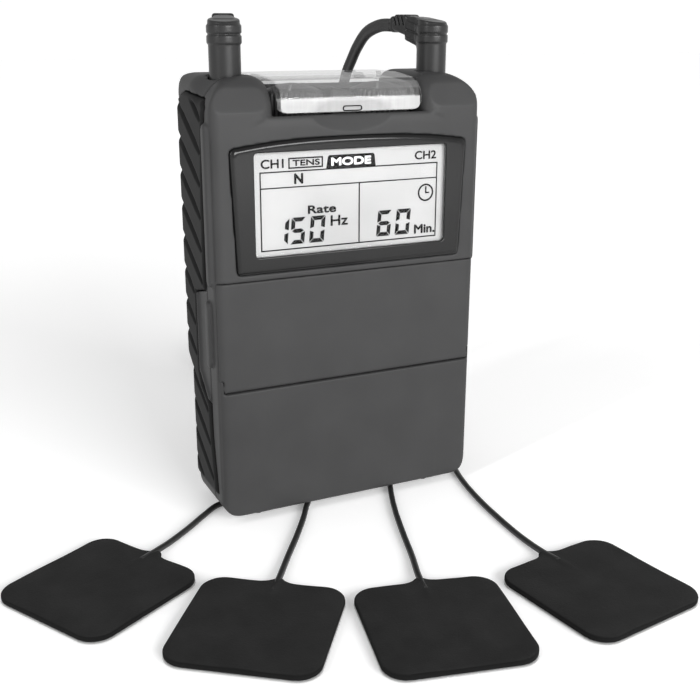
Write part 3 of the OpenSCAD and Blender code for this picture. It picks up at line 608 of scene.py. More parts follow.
# Side grips on the side view: Y, and height above the base
GRIP_LINE = [
    (9, 87.5), (3.4, 89.4), (-6.8, 88.3), (-8.2, 86.8), (-6, 69), (-5.3, 50), (0.6, 48.5),
    (0.7, 31), (-0.8, 28), (-5.6, 25), (-6.2, 17), (-8.3, 5), (9, 5)]
GROOVE_PITCH, GROOVE_TOP, GROOVE_SLOPE = 6.95, 85.0, 32.0
# Bars on the sides: both ends on the side view, radius, reach in X, softness of the edge
SIDE_BARS = (
    ((-9.0, 84.2), (-9.0, 54.4), 1.45, 31.1, 0.9),
    ((-7.1, 48.4), (-7.1, 36.6), 1.35, 31.1, 0.5),
    ((0.1, 49.6), (0.1, 33), 0.4, 30.95, 0.5),
    ((0.1, 33), (-5.9, 27.5), 0.4, 30.95, 0.5))
BUTTONS = ("button_mode", "button_set", "button_up", "button_down")


def envelope(b):
    """Outer form of the housing: front, side and plan outlines meeting in soft edges."""
    # The top corners are wide at the front and tighten towards the back
    tight = np.clip((b.y + 6) / 8, 0, 1)
    corner = 8.5 - 4 * tight * tight * (3 - 2 * tight)
    front = rounded_rect(b.x, b.z, (-HALF_W, BASE_Z), (HALF_W, TOP_Z), (5, 5, corner, corner))
    side = rounded_rect(b.y, b.z, (FRONT_Y, BASE_Z), (BACK_Y, TOP_Z), (1.5, 3, 3.5, 8))
    slope = 0.7145 * (b.y - BAY_Y) - 0.6996 * (b.z - BAY_Z)
    side = smax(side, smin(b.y - BAY_Y, slope, 0.8), 0.6)
    # Over the battery bay the back corners draw in with the back
    bay = np.clip((35.6 - b.z) / 4.6, 0, 1)
    bay = bay * bay * (3 - 2 * bay)
    round_back = 5.2 + 1.2 * bay
    back = BACK_Y - (BACK_Y - BAY_Y) * bay
    plan = rounded_rect(b.x, b.y, (-HALF_W, FRONT_Y), (HALF_W, back), (2.5, 2.5, round_back, round_back))
    return smax(smax(front, side, 1.0), plan, 0.9)


def grip_outline(b):
    return outline(b.y, b.z, [(y, z + BASE_Z) for y, z in GRIP_LINE])


def side_bars(b):
    """Rounded bars that stand out of both sides in front of the grips."""
    far = np.abs(b.x)
    bars = (smax(capsule(b.y, b.z, a, c, r), far - reach, k) for a, c, r, reach, k in SIDE_BARS)
    return all_of(any_of(*bars), 28.5 - far)


def side_channel(b):
    """Shallow channel on both sides, between the front edge and the bars."""
    return all_of(capsule(b.y, b.z, (-11.1, 82), (-11.1, 9), 0.45), 30.15 - np.abs(b.x))


def housing_body(b, skin):
    """The housing as one solid: notch, lip, scoop, door recess, grip pockets and jack holes cut in."""
    solid = smin(smax(skin, -side_channel(b), 0.4), side_bars(b), 0.12)
    far = np.abs(b.x)
    shoulders = smax(solid, NOTCH_X - far, 4.2)
    lip_wall = WALL + 1.1 * np.clip((7 - far) / 3, 0, 1)
    lip = smax(b.z - NOTCH_LIP, b.y - FRONT_Y - lip_wall, 0.5)
    rear = smax(b.z - NOTCH_BACK, BACK_Y - WALL - b.y, 0.6)
    keep = any_of(lip, rear, b.z - NOTCH_FLOOR)
    between = all_of(smax(solid, keep, 0.4), far - NOTCH_X - 5)
    body = smin(shoulders, between, 0.15)
    # The face between the shoulders leans back towards the lip
    lean = (b.y - (FRONT_Y + (b.z - 85.1) * 0.4)) / 1.077
    flank = (far - (20.3 - (b.z - 85.3) * 1.75)) / 2.016
    body = smax(body, -smax(lean, flank, 0.4), 0.6)
    # Thumb scoop under the guard's edge
    arch = 87 - 4.4 * np.sqrt(np.clip(1 - (b.x / 9.8) ** 2, 0, 1))
    body = smax(body, (FRONT_Y + 0.45 * (b.z - arch) - b.y) / 1.1, 0.05)
    door = box_field(b, (-DOOR_X - SEAM, FRONT_Y - 5, SEAM_LOW), (DOOR_X + SEAM, DECK_Y, SEAM_HIGH))
    wing = box_field(b, (-40, FRONT_Y - 5, WING_Z), (40, WING_Y + SEAM, SEAM_HIGH))
    body = smax(body, -np.minimum(door, wing), 0.05)
    line = grip_outline(b)
    pocket = all_of(line - 0.1, GRIP_REACH - far, -(skin + 1.15))
    body = smax(body, -pocket, 0.25)
    jack = all_of(rod(far, b.y, (JACK_X, JACK_Y), 3.45), JACK_Z - b.z)
    body = smax(body, -jack, 0.5)
    pivot = all_of(rod(b.y, b.z, GUARD_AXIS, 0.75), far - 17.8)
    return np.maximum(body, -pivot), line


def housing_inside(b, skin, line):
    far = np.abs(b.x)
    notch = np.minimum(
        box_field(b, (-NOTCH_X, FRONT_Y + WALL, NOTCH_FLOOR), (NOTCH_X, BACK_Y - WALL, 99)),
        box_field(b, (-NOTCH_X, FRONT_Y - 3, NOTCH_LIP), (NOTCH_X, BACK_Y - WALL, 99)))
    door = box_field(b, (-DOOR_X, FRONT_Y - 5, SEAM_LOW), (DOOR_X, DECK_Y, SEAM_HIGH))
    backing = all_of(line - 1, GRIP_REACH - far, -(skin + 2.35))
    return all_of(skin + WALL, 1.6 - notch, 1.5 - door, -backing)


def feet(b, places, r=1.8):
    height = all_of(-b.z, b.z - BASE_Z - 0.5)
    return any_of(*(smax(rod(b.x, b.y, at, r), height, 0.35) for at in places))


def build_front_shell(material):
    b = Block((-31.8, -13, -0.6), (31.8, -5.2, 95.4), FRONT_STEP)
    skin = envelope(b)
    body, line = housing_body(b, skin)
    shell = np.maximum(body, -housing_inside(b, skin, line))
    bezel = bezel_outline(b, 0.05)
    shell = smax(shell, -all_of(bezel, b.y - FRONT_Y - 0.9), 0.1)
    opening = rounded_rect(b.x, b.z, (-23.4, LCD_LOW[1] - 1.3), (23.4, LCD_HIGH[1] + 1.3), 0.5)
    shell = all_of(shell, -all_of(opening, b.y - FRONT_Y - 6))
    for name in BUTTONS:
        centre = middle(name)
        hole = rounded_rect(b.x, b.z, centre[[0, 2]] - (4.15, 2.65), centre[[0, 2]] + (4.15, 2.65), 1.9)
        shell = smax(shell, -all_of(hole, DECK_Y - 2 - b.y), 0.3)
    shell = smax(shell, b.y - PART_Y + 0.03, 0.3)
    shell = np.minimum(shell, feet(b, [(-21, -7.3), (21, -7.3)], 1.1))
    return place(b.mesh("front_shell_look", shell, material), "housing", "front_shell")


def build_back_shell(material):
    b = Block((-31.8, -8, -0.6), (31.8, 18.6, 95.4), SHELL_STEP)
    skin = envelope(b)
    body, line = housing_body(b, skin)
    inside = housing_inside(b, skin, line)
    for x, z in CASE_SCREWS:
        inside = np.maximum(inside, np.minimum(-rod(b.x, b.z, (x, z), 2.6), b.y + 4.1))
    inside = np.maximum(inside, np.minimum(b.z - 31.5, 32.9 - b.z))
    shell = np.maximum(body, -inside)
    shell = smax(shell, PART_Y + 0.03 - b.y, 0.3)
    hatch_low, hatch_high = cad_extent("battery_door")
    opening = box_field(
        b, (-24.15, BAY_Y - 2.5, hatch_low[2] - 0.15), (24.15, BAY_Y + 3, hatch_high[2] + 0.15))
    shell = smax(shell, -opening, 0.3)
    for x, z in CASE_SCREWS:
        sunk = np.hypot(b.x - x, b.z - z)
        hole = np.minimum(all_of(sunk - 2.15, BACK_Y - 2.4 - b.y), sunk - 1.1)
        shell = smax(shell, -hole, 0.3)
    # Block between the knobs, its top falling to the right
    top = 91.3 - 0.28 * (b.x + 0.4)
    block = smax(
        box_field(b, (-2.9, PART_Y - 1.5, NOTCH_FLOOR - 0.4), (2.9, BACK_Y - 2, 99), 0.4), b.z - top, 1.2)
    shell = np.minimum(shell, block)
    # Lugs of the belt clip
    flank = np.abs(np.abs(b.x) - 7.4) - 1.0
    boss = rod(b.y, b.z, CLIP_AXIS, 2.2)
    y, z = CLIP_AXIS
    foot = outline(b.y, b.z, [
        (BACK_Y - 0.6, z - 4.8), (y, z - 2.2), (y, z + 2.2), (BACK_Y - 0.6, z + 4.8)])
    shell = smin(shell, smax(smin(boss, foot, 0.6), flank, 0.5), 0.5)
    shell = np.minimum(shell, feet(b, [(0, 0), (-13, 6), (13, 6)]))
    return place(b.mesh("back_shell_look", shell, material), "housing", "back_shell")


def build_grips(material):
    b = Block((-31.9, -9.2, 5.2), (-24.2, 10.2, 92.2), 0.2)
    skin = envelope(b)
    line = grip_outline(b)
    slope = math.radians(GROOVE_SLOPE)
    across = (b.z - BASE_Z - GROOVE_TOP) * math.cos(slope) - (b.y - 5) * math.sin(slope)
    pitch = GROOVE_PITCH * math.cos(slope)
    across = across - pitch * np.round(across / pitch)
    # Each groove dies out before the front edge and runs out, shallower, over the back edge
    within = np.maximum(-line - 0.7, b.y - 3.5)
    inset = np.clip(within / 0.8, 0, 1) * (1 - 0.45 * np.clip((b.y - 5) / 3, 0, 1))
    reach = 0.55 + 0.45 * np.clip(within / 3.5, 0, 1)
    groove = np.clip(1 - np.abs(across) / reach, 0, 1)
    outer = skin - 0.5 + 0.95 * inset * groove
    grip = smax(smax(line + 0.05, outer, 0.9), -(skin + 1.1), 0.2)
    grip = all_of(grip, GRIP_REACH + 0.1 + b.x)
    left = b.mesh("left_grip_look", grip, material)
    right = mirror_x("right_grip_look", left)
    place(left, "grip_rubber", "left_grip")
    place(right, "grip_rubber", "right_grip")


# ---------- display ----------

LCD_LOW = (-21.8, 58.9)
LCD_HIGH = (21.8, 79.8)
BEZEL_LOW, BEZEL_HIGH, BEZEL_ARCH = (-26, 55.4), (26, 80.8), 1.9
WINDOW_ROUND = 0.6
DIGIT_Z, DIGIT_H, DIGIT_STROKE, DIGIT_GAP, DIGIT_LEAN = 60.85, 5.5, 0.86, 0.12, 0.09
# Left edge, width and lit segments of each figure
DISPLAY_FIGURES = (
    (-15.55, 1.05, "bc"), (-14.0, 3.15, "afgcd"), (-9.75, 3.3, "abcdef"), (5.75, 3.3, "afgecd"),
    (10.2, 3.4, "abcdef"))
# Name, wording, low and high corner on X and Z, stroke thickening
DISPLAY_WORDS = (
    ("label_ch1", "CH1", (-20.0, 76.5), (-15.1, 78.35), 0.06),
    ("label_ch2", "CH2", (14.75, 76.6), (19.95, 78.4), 0.06),
    ("label_kind", "TENS", (-13.2, 76.75), (-7.2, 78.0), 0.06),
    ("label_n", "N", (-12.9, 73.15), (-10.9, 75.3), 0.12),
    ("label_rate", "Rate", (-9.95, 66.85), (-3.6, 68.6), 0.08),
    ("label_hz", "Hz", (-4.85, 64.0), (-0.9, 66.2), 0.06),
    ("label_min", "Min.", (14.95, 60.7), (20.05, 62.7), 0.09))


def bezel_outline(b, grow):
    """Bezel seen from the front: widening a little upwards, with an arched top."""
    arch = (BEZEL_HIGH[0] ** 2 + BEZEL_ARCH ** 2) / (2 * BEZEL_ARCH)
    top = BEZEL_HIGH[1] + BEZEL_ARCH + grow
    x = b.x * BEZEL_HIGH[0] / (25.7 + 1.15 * (b.z - BEZEL_LOW[1]) / (top - BEZEL_LOW[1]))
    frame_2d = rounded_rect(
        x, b.z, (BEZEL_LOW[0] - grow, BEZEL_LOW[1] - grow), (BEZEL_HIGH[0] + grow, top), (0.9, 0.9, 1.8, 1.8))
    return smax(frame_2d, np.hypot(b.x, b.z - (top - arch)) - arch, 1.2)


def build_bezel(material):
    b = Block((-28, -13, 54.6), (28, -11, 83.6), 0.18)
    opening = rounded_rect(b.x, b.z, LCD_LOW, LCD_HIGH, 0.7)
    face = smax(bezel_outline(b, 0), FRONT_Y - 0.42 - b.y, 1.1)
    body = all_of(smax(face, -opening, 0.12), b.y - FRONT_Y - 0.8)
    return place(b.mesh("bezel_look", body, material), "bezel", "display_bezel")


def flat_piece(name, points, faces, y, thick, material):
    """A thin solid drawn on X and Z, its front at y."""
    count = len(points)
    polys = []
    for face in faces:
        polys += [tuple(face), tuple(i + count for i in reversed(face))]
        polys += [(a, a + count, c + count, c) for a, c in zip(face, [*face[1:], face[0]])]
    mesh = bpy.data.meshes.new(name)
    mesh.from_pydata([(x * MM, (y + d) * MM, z * MM) for d in (0, thick) for x, z in points], [], polys)
    mesh.materials.append(material)
    made = bpy.data.objects.new(name, mesh)
    scene.collection.objects.link(made)
    return made


def build_window(material):
    low, high = cad_extent("display_window")
    points = []
    for quarter, (sx, sz) in enumerate(((1, 1), (-1, 1), (-1, -1), (1, -1))):
        x = (high[0] if sx > 0 else low[0]) - sx * WINDOW_ROUND
        z = (high[2] if sz > 0 else low[2]) - sz * WINDOW_ROUND
        for angle in np.linspace(quarter, quarter + 1, 5) * math.pi / 2:
            points.append((x + WINDOW_ROUND * math.cos(angle), z + WINDOW_ROUND * math.sin(angle)))
    plate = flat_piece("window_look", points, [range(len(points))], low[1], high[1] - low[1], material)
    return place(plate, "clear", "display_window")


class Print:
    """Collects flat printed shapes into one piece."""

    def __init__(self):
        self.points, self.faces = [], []

    def shape(self, points):
        start = len(self.points)
        self.points += points
        self.faces.append(range(start, start + len(points)))

    def bar(self, x0, z0, x1, z1):
        self.shape([(x0, z0), (x1, z0), (x1, z1), (x0, z1)])

    def box_line(self, x0, z0, x1, z1, w):
        self.bar(x0, z0, x1, z0 + w)
        self.bar(x0, z1 - w, x1, z1)
        self.bar(x0, z0 + w, x0 + w, z1 - w)
        self.bar(x1 - w, z0 + w, x1, z1 - w)

    def ring(self, x, z, r, w, sides=32):
        turn = 2 * math.pi / sides
        for i in range(sides):
            corners = ((r - w, i), (r, i), (r, i + 1), (r - w, i + 1))
            self.shape([(x + q * math.cos(k * turn), z + q * math.sin(k * turn)) for q, k in corners])

    def digit(self, x, w, lit):
        """Slanted seven-segment figure; lit names segments a to g clockwise from the top, g in the middle."""
        t, h, g = DIGIT_STROKE, DIGIT_H, DIGIT_GAP
        half = h / 2
        above, below = half + t / 2 + g, half - t / 2 - g
        segments = {
            "a": [(t, h - t), (w - t, h - t), (w - g, h), (g, h)],
            "b": [(w - t, above), (w, half + 2 * g), (w, h - g), (w - t, h - t - g)],
            "c": [(w - t, t + g), (w, g), (w, half - 2 * g), (w - t, below)],
            "d": [(g, 0), (w - g, 0), (w - t, t), (t, t)],
            "e": [(0, g), (t, t + g), (t, below), (0, half - 2 * g)],
            "f": [(0, half + 2 * g), (t, above), (t, h - t - g), (0, h - g)],
            "g": [(2 * g, half), (t, half - t / 2), (w - t, half - t / 2), (w - 2 * g, half),
                  (w - t, half + t / 2), (t, half + t / 2)]}
        for name in lit:
            self.shape([(x + u + v * DIGIT_LEAN, DIGIT_Z + v) for u, v in segments[name]])


def lettering(name, text, low, high, y, weight, material):
    """Generic display wording filling a box on X and Z, strokes thickened by weight mm all round."""
    curve = bpy.data.curves.new(name, "FONT")
    curve.body = text
    curve.size = 1.4 * (high[1] - low[1]) * MM
    curve.extrude = 0.00002
    temp = bpy.data.objects.new(name + "_curve", curve)
    scene.collection.objects.link(temp)
    mesh = bpy.data.meshes.new_from_object(temp.evaluated_get(bpy.context.evaluated_depsgraph_get()))
    bpy.data.objects.remove(temp)
    made = bpy.data.objects.new(name, mesh)
    scene.collection.objects.link(made)
    spots = np.array([v.co for v in mesh.vertices])
    least, most = spots.min(0), spots.max(0)
    scale = [(high[i] - low[i] - 2 * weight) * MM / (most[i] - least[i]) for i in (0, 1)]
    mesh.transform(
        Matrix.Translation(((low[0] + weight) * MM, y * MM, (low[1] + weight) * MM))
        @ Matrix.Rotation(math.radians(90), 4, "X")
        @ Matrix.Diagonal((*scale, 1, 1)) @ Matrix.Translation((-least[0], -least[1], 0)))
    # Heavier strokes: the same outline laid around itself
    copies = bmesh.new()
    for k in range(8):
        start = len(copies.verts)
        copies.from_mesh(mesh)
        copies.verts.ensure_lookup_table()
        angle = k * math.pi / 4
        shift = Vector((math.cos(angle) * weight, -0.003 * k, math.sin(angle) * weight)) * MM
        for vert in copies.verts[start:]:
            vert.co += shift
    copies.to_mesh(mesh)
    copies.free()
    mesh.materials.clear()
    mesh.materials.append(material)
    return place(made, "panel")


def build_display(panel_look, ink, light):
    low, high = cad_extent("lcd_panel")
    b = Block(low - 0.6, high + 0.6, 0.3)
    place(b.mesh("panel_look", box_field(b, low, high, 0.3), panel_look, 0.02), "panel", "lcd_panel")
    y = low[1] - 0.06
    p = Print()
    p.box_line(-20.3, 59.8, 20.35, 75.9, 0.27)
    p.bar(-20, 72.45, 20.05, 72.7)
    p.bar(1.6, 60.1, 1.88, 72.5)
    p.box_line(-14.1, 76.25, -6.5, 78.45, 0.3)
    p.shape([(-5.8, 75.9), (5.5, 75.9), (5.2, 78.2), (4.9, 78.55), (-5.1, 78.55), (-5.4, 78.2)])
    for figure in DISPLAY_FIGURES:
        p.digit(*figure)
    p.ring(17.6, 69.5, 1.9, 0.38)
    p.bar(17.45, 69.35, 17.8, 70.8)
    p.bar(17.45, 69.3, 18.5, 69.6)
    place(flat_piece("display_print", p.points, p.faces, y, 0.04, ink), "panel")
    for name, text, low, high, weight in DISPLAY_WORDS:
        lettering(name, text, low, high, y, weight, ink)
    lettering("label_mode", "MODE", (-4.7, 76.35), (4.4, 78.05), y - 0.06, 0.11, light)


# ---------- controls ----------

KNOB_LOW, KNOB_EDGE, KNOB_RIBS = 85.5, 91.22, 36
POINTER_WAY = (math.cos(math.radians(-118)), math.sin(math.radians(-118)))


def build_control_door(material):
    b = Block((-31.2, -12.9, 30), (31.2, -9.4, 54.6), 0.2)
    far = np.abs(b.x)
    top = b.z - SEAM_HIGH + SEAM
    plate = all_of(far - DOOR_X, b.y - FRONT_Y - 1.4, DOOR_AXIS[1] - b.z, top)
    roll = all_of(rod(b.y, b.z, DOOR_AXIS, 1.3), far - DOOR_X)
    wing = all_of(b.y - WING_Y, WING_Z + SEAM - b.z, top)
    door = smax(any_of(plate, roll, wing), smax(envelope(b), -side_channel(b), 0.4), 0.12)
    peg = all_of(rod(b.y, b.z, DOOR_AXIS, 0.7), far - DOOR_X - 0.45)
    pull = all_of(rod(b.x, b.z, (0, SEAM_HIGH), 4), FRONT_Y + 0.9 - b.y)
    door = smax(np.minimum(door, peg), -pull, 0.3)
    place(b.mesh("control_door_look", door, material), "housing", "control_door", body="control_door")


def build_buttons(material, ink):
    for name in BUTTONS:
        low, high = cad_extent(name)
        b = Block(low - 0.5, high + 0.5, 0.16)
        x, _, z = (low + high) / 2
        cap = rounded_rect(b.x, b.z, (x - 4, z - 2.5), (x + 4, z + 2.5), 1.8)
        flange = rounded_rect(b.x, b.z, low[[0, 2]], high[[0, 2]], 2.2)
        crown = low[1] + 0.12 + 0.02 * ((b.x - x) ** 2 + (b.z - z) ** 2)
        body = smax(cap, all_of(crown - b.y, b.y - high[1]), 0.5)
        body = np.minimum(body, smax(flange, slab(b.y, high[1] - 0.8, high[1]), 0.2))
        place(b.mesh(name + "_look", body, material), "silicone", name, body=name)
        mark = Print()
        if name == "button_up":
            mark.shape([(x - 1, z - 0.7), (x + 1, z - 0.7), (x, z + 0.9)])
        elif name == "button_down":
            mark.shape([(x - 1, z + 0.7), (x, z - 0.9), (x + 1, z + 0.7)])
        elif name == "button_mode":
            mark.ring(x, z, 1.0, 0.35)
        else:
            mark.bar(x - 1, z - 0.3, x + 1, z + 0.3)
        flat = flat_piece(name + "_mark", mark.points, mark.faces, low[1] + 0.1, 0.12, ink)
        place(flat, "silicone", body=name)


def dome_height(share, top):
    """Height of a knob's dome at a share of its radius."""
    return KNOB_EDGE + (top - KNOB_EDGE) * (1 - share * share)


def build_knobs(material, ink):
    for name in ("knob_ch1", "knob_ch2"):
        low, high = cad_extent(name)
        cx, cy = (low[:2] + high[:2]) / 2
        radius = (high[0] - low[0]) / 2
        dome = radius - 1.0
        # Radius, height and depth of the ribs there
        rings = [
            (0.2, KNOB_LOW, 0), (radius - 0.9, KNOB_LOW, 0), (radius - 0.4, KNOB_LOW + 0.15, 0.4),
            (radius, KNOB_LOW + 0.5, 1), (radius, KNOB_EDGE - 0.97, 1),
            (radius - 0.12, KNOB_EDGE - 0.52, 0.8), (radius - 0.5, KNOB_EDGE - 0.22, 0.25),
            (dome, KNOB_EDGE, 0)]
        rings += [(dome * t, dome_height(t, high[2]), 0) for t in (0.85, 0.7, 0.55, 0.4, 0.25, 0.1)]
        turn = np.linspace(0, 2 * math.pi, KNOB_RIBS * 8, endpoint=False)
        rib = 0.5 - 0.5 * np.cos(KNOB_RIBS * turn)
        r, z, share = np.array(rings).T[:, :, None]
        r = r - 0.5 * share * (1 - rib ** 0.6)
        skin = np.stack([cx + r * np.cos(turn), cy + r * np.sin(turn), z + 0 * turn], -1)
        tips = [(cx, cy, KNOB_LOW), (cx, cy, high[2])]
        place(tube(f"{name}_look", skin, tips, material, flip=True), "knob", name, body=name)
        # Painted pointer on the dome, towards the front
        along, across = np.array([POINTER_WAY, (-POINTER_WAY[1], POINTER_WAY[0])])
        strip = []
        for side in (-0.26, 0.26):
            for t in np.linspace(2.4, 5.3, 8):
                spot = (cx, cy) + t * along + side * across
                strip.append((*spot, dome_height(t / dome, high[2]) + 0.05))
        strip += [(x, y, z - 0.2) for x, y, z in strip]
        faces = [(0, 8, 24, 16), (7, 23, 31, 15)]
        for k in range(7):
            faces += [(k, k + 1, k + 9, k + 8), (k + 16, k + 24, k + 25, k + 17), (k, k + 16, k + 17, k + 1),
                      (k + 8, k + 9, k + 25, k + 24)]
        mark = mesh_piece(f"{name}_mark", np.array(strip) * MM, [], np.array(faces)[:, ::-1], ink)
        place(mark, "knob", body=name)


def guard_profile(b):
    """The guard's side profile: leaning front, round brow and gently rising top."""
    lean = math.radians(6)
    y, z = b.y + 12.1, b.z - 92.95
    u = y * math.cos(lean) + z * math.sin(lean)
    v = -y * math.sin(lean) + z * math.cos(lean)
    return all_of(rounded_rect(u, v, (0, -20), (40, 0), (0.1, 0.1, 0.1, 4.6)), b.z - 94.2)


def build_guard(clear, edge, ink):
    bottom = cad_extent("knob_guard")[0][2]
    b = Block((-18.2, -12.8, 86.2), (18.2, 12, 95), 0.17)
    profile = guard_profile(b)
    far = np.abs(b.x)
    front = rounded_rect(b.x, b.z, (-16, bottom), (16, 99), (2.2, 2.2, 1, 1))
    outer = all_of(front, b.y - GUARD_AXIS[0])
    plate = smax(all_of(profile, -(profile + 1)), outer, 0.35)
    cheek = all_of(profile, 15 - far, outer)
    cleared = outline(b.y, b.z, [(-9.6, 80), (-9.6, 89.3), (-7.5, 91.6), (-5, 92.2), (30, 92.2), (30, 80)])
    barrel = smax(rod(b.y, b.z, GUARD_AXIS, 1), far - 16, 0.3)
    pins = all_of(rod(b.y, b.z, GUARD_AXIS, 0.7), far - 17.4)
    guard = b.mesh("guard_look", any_of(plate, smax(cheek, -cleared, 0.3), barrel, pins), clear)
    place(guard, "clear", "knob_guard", body="knob_guard")
    # The rim is a denser look: second material on faces at the ends and round the barrel
    guard.data.materials.append(edge)
    centres = np.empty(len(guard.data.polygons) * 3)
    guard.data.polygons.foreach_get("center", centres)
    x, y, z = centres.reshape(-1, 3).T / MM
    rim = (np.abs(x) > 15.55) | (y > 9.1) | (z < bottom + 0.3)
    guard.data.polygons.foreach_set("material_index", rim.astype(np.int32))
    # Moulded outline of the pull mark
    c = Block((-2.6, -12.2, 86.9), (2.6, -11.1, 88.7), 0.05)
    ring = np.abs(rounded_rect(c.x, c.z, (-2.05, 87.3), (2.05, 88.2), 0.42)) - 0.1
    mark = smax(ring, slab(c.y + (c.z - 87.9) * 0.105, -11.78, -11.3), 0.08)
    place(c.mesh("guard_mark", mark, ink), "clear", body="knob_guard")


# ---------- battery side and back ----------

def build_battery(jacket, metal_look):
    low, high = cad_extent("battery")
    b = Block(low - 0.6, high + 0.6, 0.25)
    end = high[0] - 2.3
    body = smax(rounded_rect(b.y, b.z, low[1:], high[1:], 2.2), slab(b.x, low[0], end), 0.5)
    place(b.mesh("battery_look", body, jacket), "battery", "battery")
    y = (low[1] + high[1]) / 2
    for name, share, r in (("snap_round", 0.26, 2.9), ("snap_socket", 0.74, 3.4)):
        z = low[2] + share * (high[2] - low[2])
        rings = [
            (r * 0.8, 0), (r * 0.8, 0.3), (r * 0.55, 0.5), (r * 0.62, 1.6), (r * 0.95, 2.0), (r * 0.8, 2.25),
            (0.3, 2.25)]
        place(turned(name, rings, (end - 0.05, y, z), "x", metal_look, 24), "battery")


def build_battery_door(material):
    low, high = cad_extent("battery_door")
    b = Block(low - 0.6, high + 0.6, 0.22)
    far = np.abs(b.x)
    inner = BAY_Y - 1.4 - b.y
    plate = all_of(far - HATCH_X, b.y - BAY_Y, inner, HATCH_AXIS[1] - b.z, b.z - HATCH_TOP)
    edge = all_of(rod(b.y, b.z, HATCH_AXIS, 0.9), far - HATCH_X, inner)
    door = smax(np.minimum(plate, edge), b.y - BAY_Y, 0.3)
    door = smax(smax(door, far - HATCH_X, 0.3), b.z - HATCH_TOP, 0.3)
    grip = all_of(far - 6, np.abs(b.z - 25.0) - 3.6)
    ribs = 0.35 + 0.35 * np.cos((b.z - 25.0) * 2 * math.pi / 1.6)
    door = smax(door, -all_of(grip, BAY_Y - ribs - b.y), 0.2)
    tongue = all_of(far - 4, slab(b.y, BAY_Y - 2.2, BAY_Y - 1.3), slab(b.z, 28.0, 31.1))
    peg = all_of(rod(b.y, b.z, HATCH_AXIS, 0.6), far - HATCH_X - 0.9)
    door = b.mesh("battery_door_look", any_of(door, tongue, peg), material)
    place(door, "housing", "battery_door", body="battery_door")


def build_clip(material):
    low, high = cad_extent("belt_clip")
    b = Block(low - 0.8, high + 0.8, 0.22)
    z_low, z_high = low[2], high[2]
    strip = outline(
        b.y, b.z, [(16.9, z_low + 4), (CLIP_BACK, z_low + 3), (CLIP_BACK, z_high), (16.9, z_high)])
    hook = outline(b.y, b.z, [
        (CLIP_BACK, z_low + 3.2), (16.9, z_low + 5), (BACK_Y + 0.5, z_low + 1.8), (BACK_Y + 0.5, z_low + 0.4),
        (BACK_Y + 1.4, z_low)])
    knuckle = outline(b.y, b.z, [
        (CLIP_AXIS[0], CLIP_AXIS[1] - 2.1), (CLIP_BACK, CLIP_AXIS[1] - 4), (CLIP_BACK, CLIP_AXIS[1] + 4),
        (CLIP_AXIS[0], CLIP_AXIS[1] + 2.1)])
    profile = smin(smin(strip, hook, 0.8), np.minimum(knuckle, rod(b.y, b.z, CLIP_AXIS, 2.2)), 0.5)
    taper = np.abs(b.x) - (6.2 - 0.9 * np.clip((z_low + 14 - b.z) / 14, 0, 1) ** 2)
    ribs = 0.3 * (0.5 + 0.5 * np.cos((b.z - z_high + 1) * 2 * math.pi / 1.3)) * (b.z > z_high - 7)
    body = all_of(smax(profile, taper, 0.9), b.y - CLIP_BACK + ribs)
    body = smax(body, -rod(b.y, b.z, CLIP_AXIS, 1.05), 0.1)
    room = all_of(np.abs(b.x) - 2.7, b.y - CLIP_BACK + 1, np.abs(b.z - CLIP_AXIS[1]) - 2.6)
    clip = b.mesh("belt_clip_look", np.maximum(body, -room), material)
    place(clip, "clip_plastic", "belt_clip", body="belt_clip")


def build_clip_spring(material):
    y, z = CLIP_AXIS
    route = [(-2.0, BACK_Y + 0.4, z - 9), (-2.0, BACK_Y + 0.4, z - 3), (-2.0, 14.2, z - 0.9)]
    count = 104
    for i in range(count):
        angle = math.pi + 2 * math.pi * i / 16
        route.append((-1.9 + 3.8 * i / count, y + 1.4 * math.cos(angle), z + 1.4 * math.sin(angle)))
    path = smooth_path(route, 0.35)
    spring = sweep("clip_spring_look", path, round_section(0.55, 8), (1, 0.01, 0.02), material)
    place(spring, "steel", "clip_spring")


def build_screws(material):
    flat = BACK_Y - 1.0
    for i, (x, z) in enumerate(CASE_SCREWS):
        b = Block((x - 2.2, BACK_Y - 2.7, z - 2.2), (x + 2.2, BACK_Y - 0.5, z + 2.2), 0.09)
        head = smax(rod(b.x, b.z, (x, z), 1.9), slab(b.y, flat - 1.3, flat), 0.35)
        u, v = np.abs(b.x - x), np.abs(b.z - z)
        cross = np.minimum(all_of(u - 1.2, v - 0.27), all_of(v - 1.2, u - 0.27))
        body = smax(head, -all_of(cross, flat - 0.8 - b.y), 0.1)
        place(b.mesh(f"case_screw_{i + 1}", body, material), "steel", *(["case_screws"] if i == 0 else []))


# ---------- plugs, cords, pads ----------

PLUG_TURN = math.radians(18)
LEAD_W = 2.8
LEAD_T = 1.5
WIRE_D = 1.3
# Leads in mm: out of the right plug's relief (mirrored for the left one), then each lead's own way
# down behind the unit and along the floor to the coil, and from the coil to its splitter
LEAD_START = [
    (19.9, 9, 103.7), (18.7, 12.9, 103.6), (17.3, 17, 102), (16.4, 19.9, 99), (15.8, 21.8, 96),
    (15.2, 23.7, 92.5)]
LEAD_DROP = {
    1: [(-14.6, 25.6, 86), (-13.4, 28, 74), (-10.4, 31, 57), (-6, 33.5, 40),
        (-1, 35.5, 24), (3, 38, 10), (5.6, 42, 3), (6.4, 47, 1), (7, 53, 0.75), (8.4, 60, 0.75),
        (10.8, 66.5, 0.75), (14, 71, 0.75)],
    2: [(14.8, 25.6, 86), (15, 28, 74), (16.2, 31, 57), (17.8, 33.5, 40),
        (19.4, 35.5, 24), (20.8, 38, 10), (21.6, 42, 3.2), (22.6, 47, 1.2), (24, 53, 1.0), (25.6, 60, 1.8),
        (27, 66, 3), (25.6, 70.6, 3.8)]}
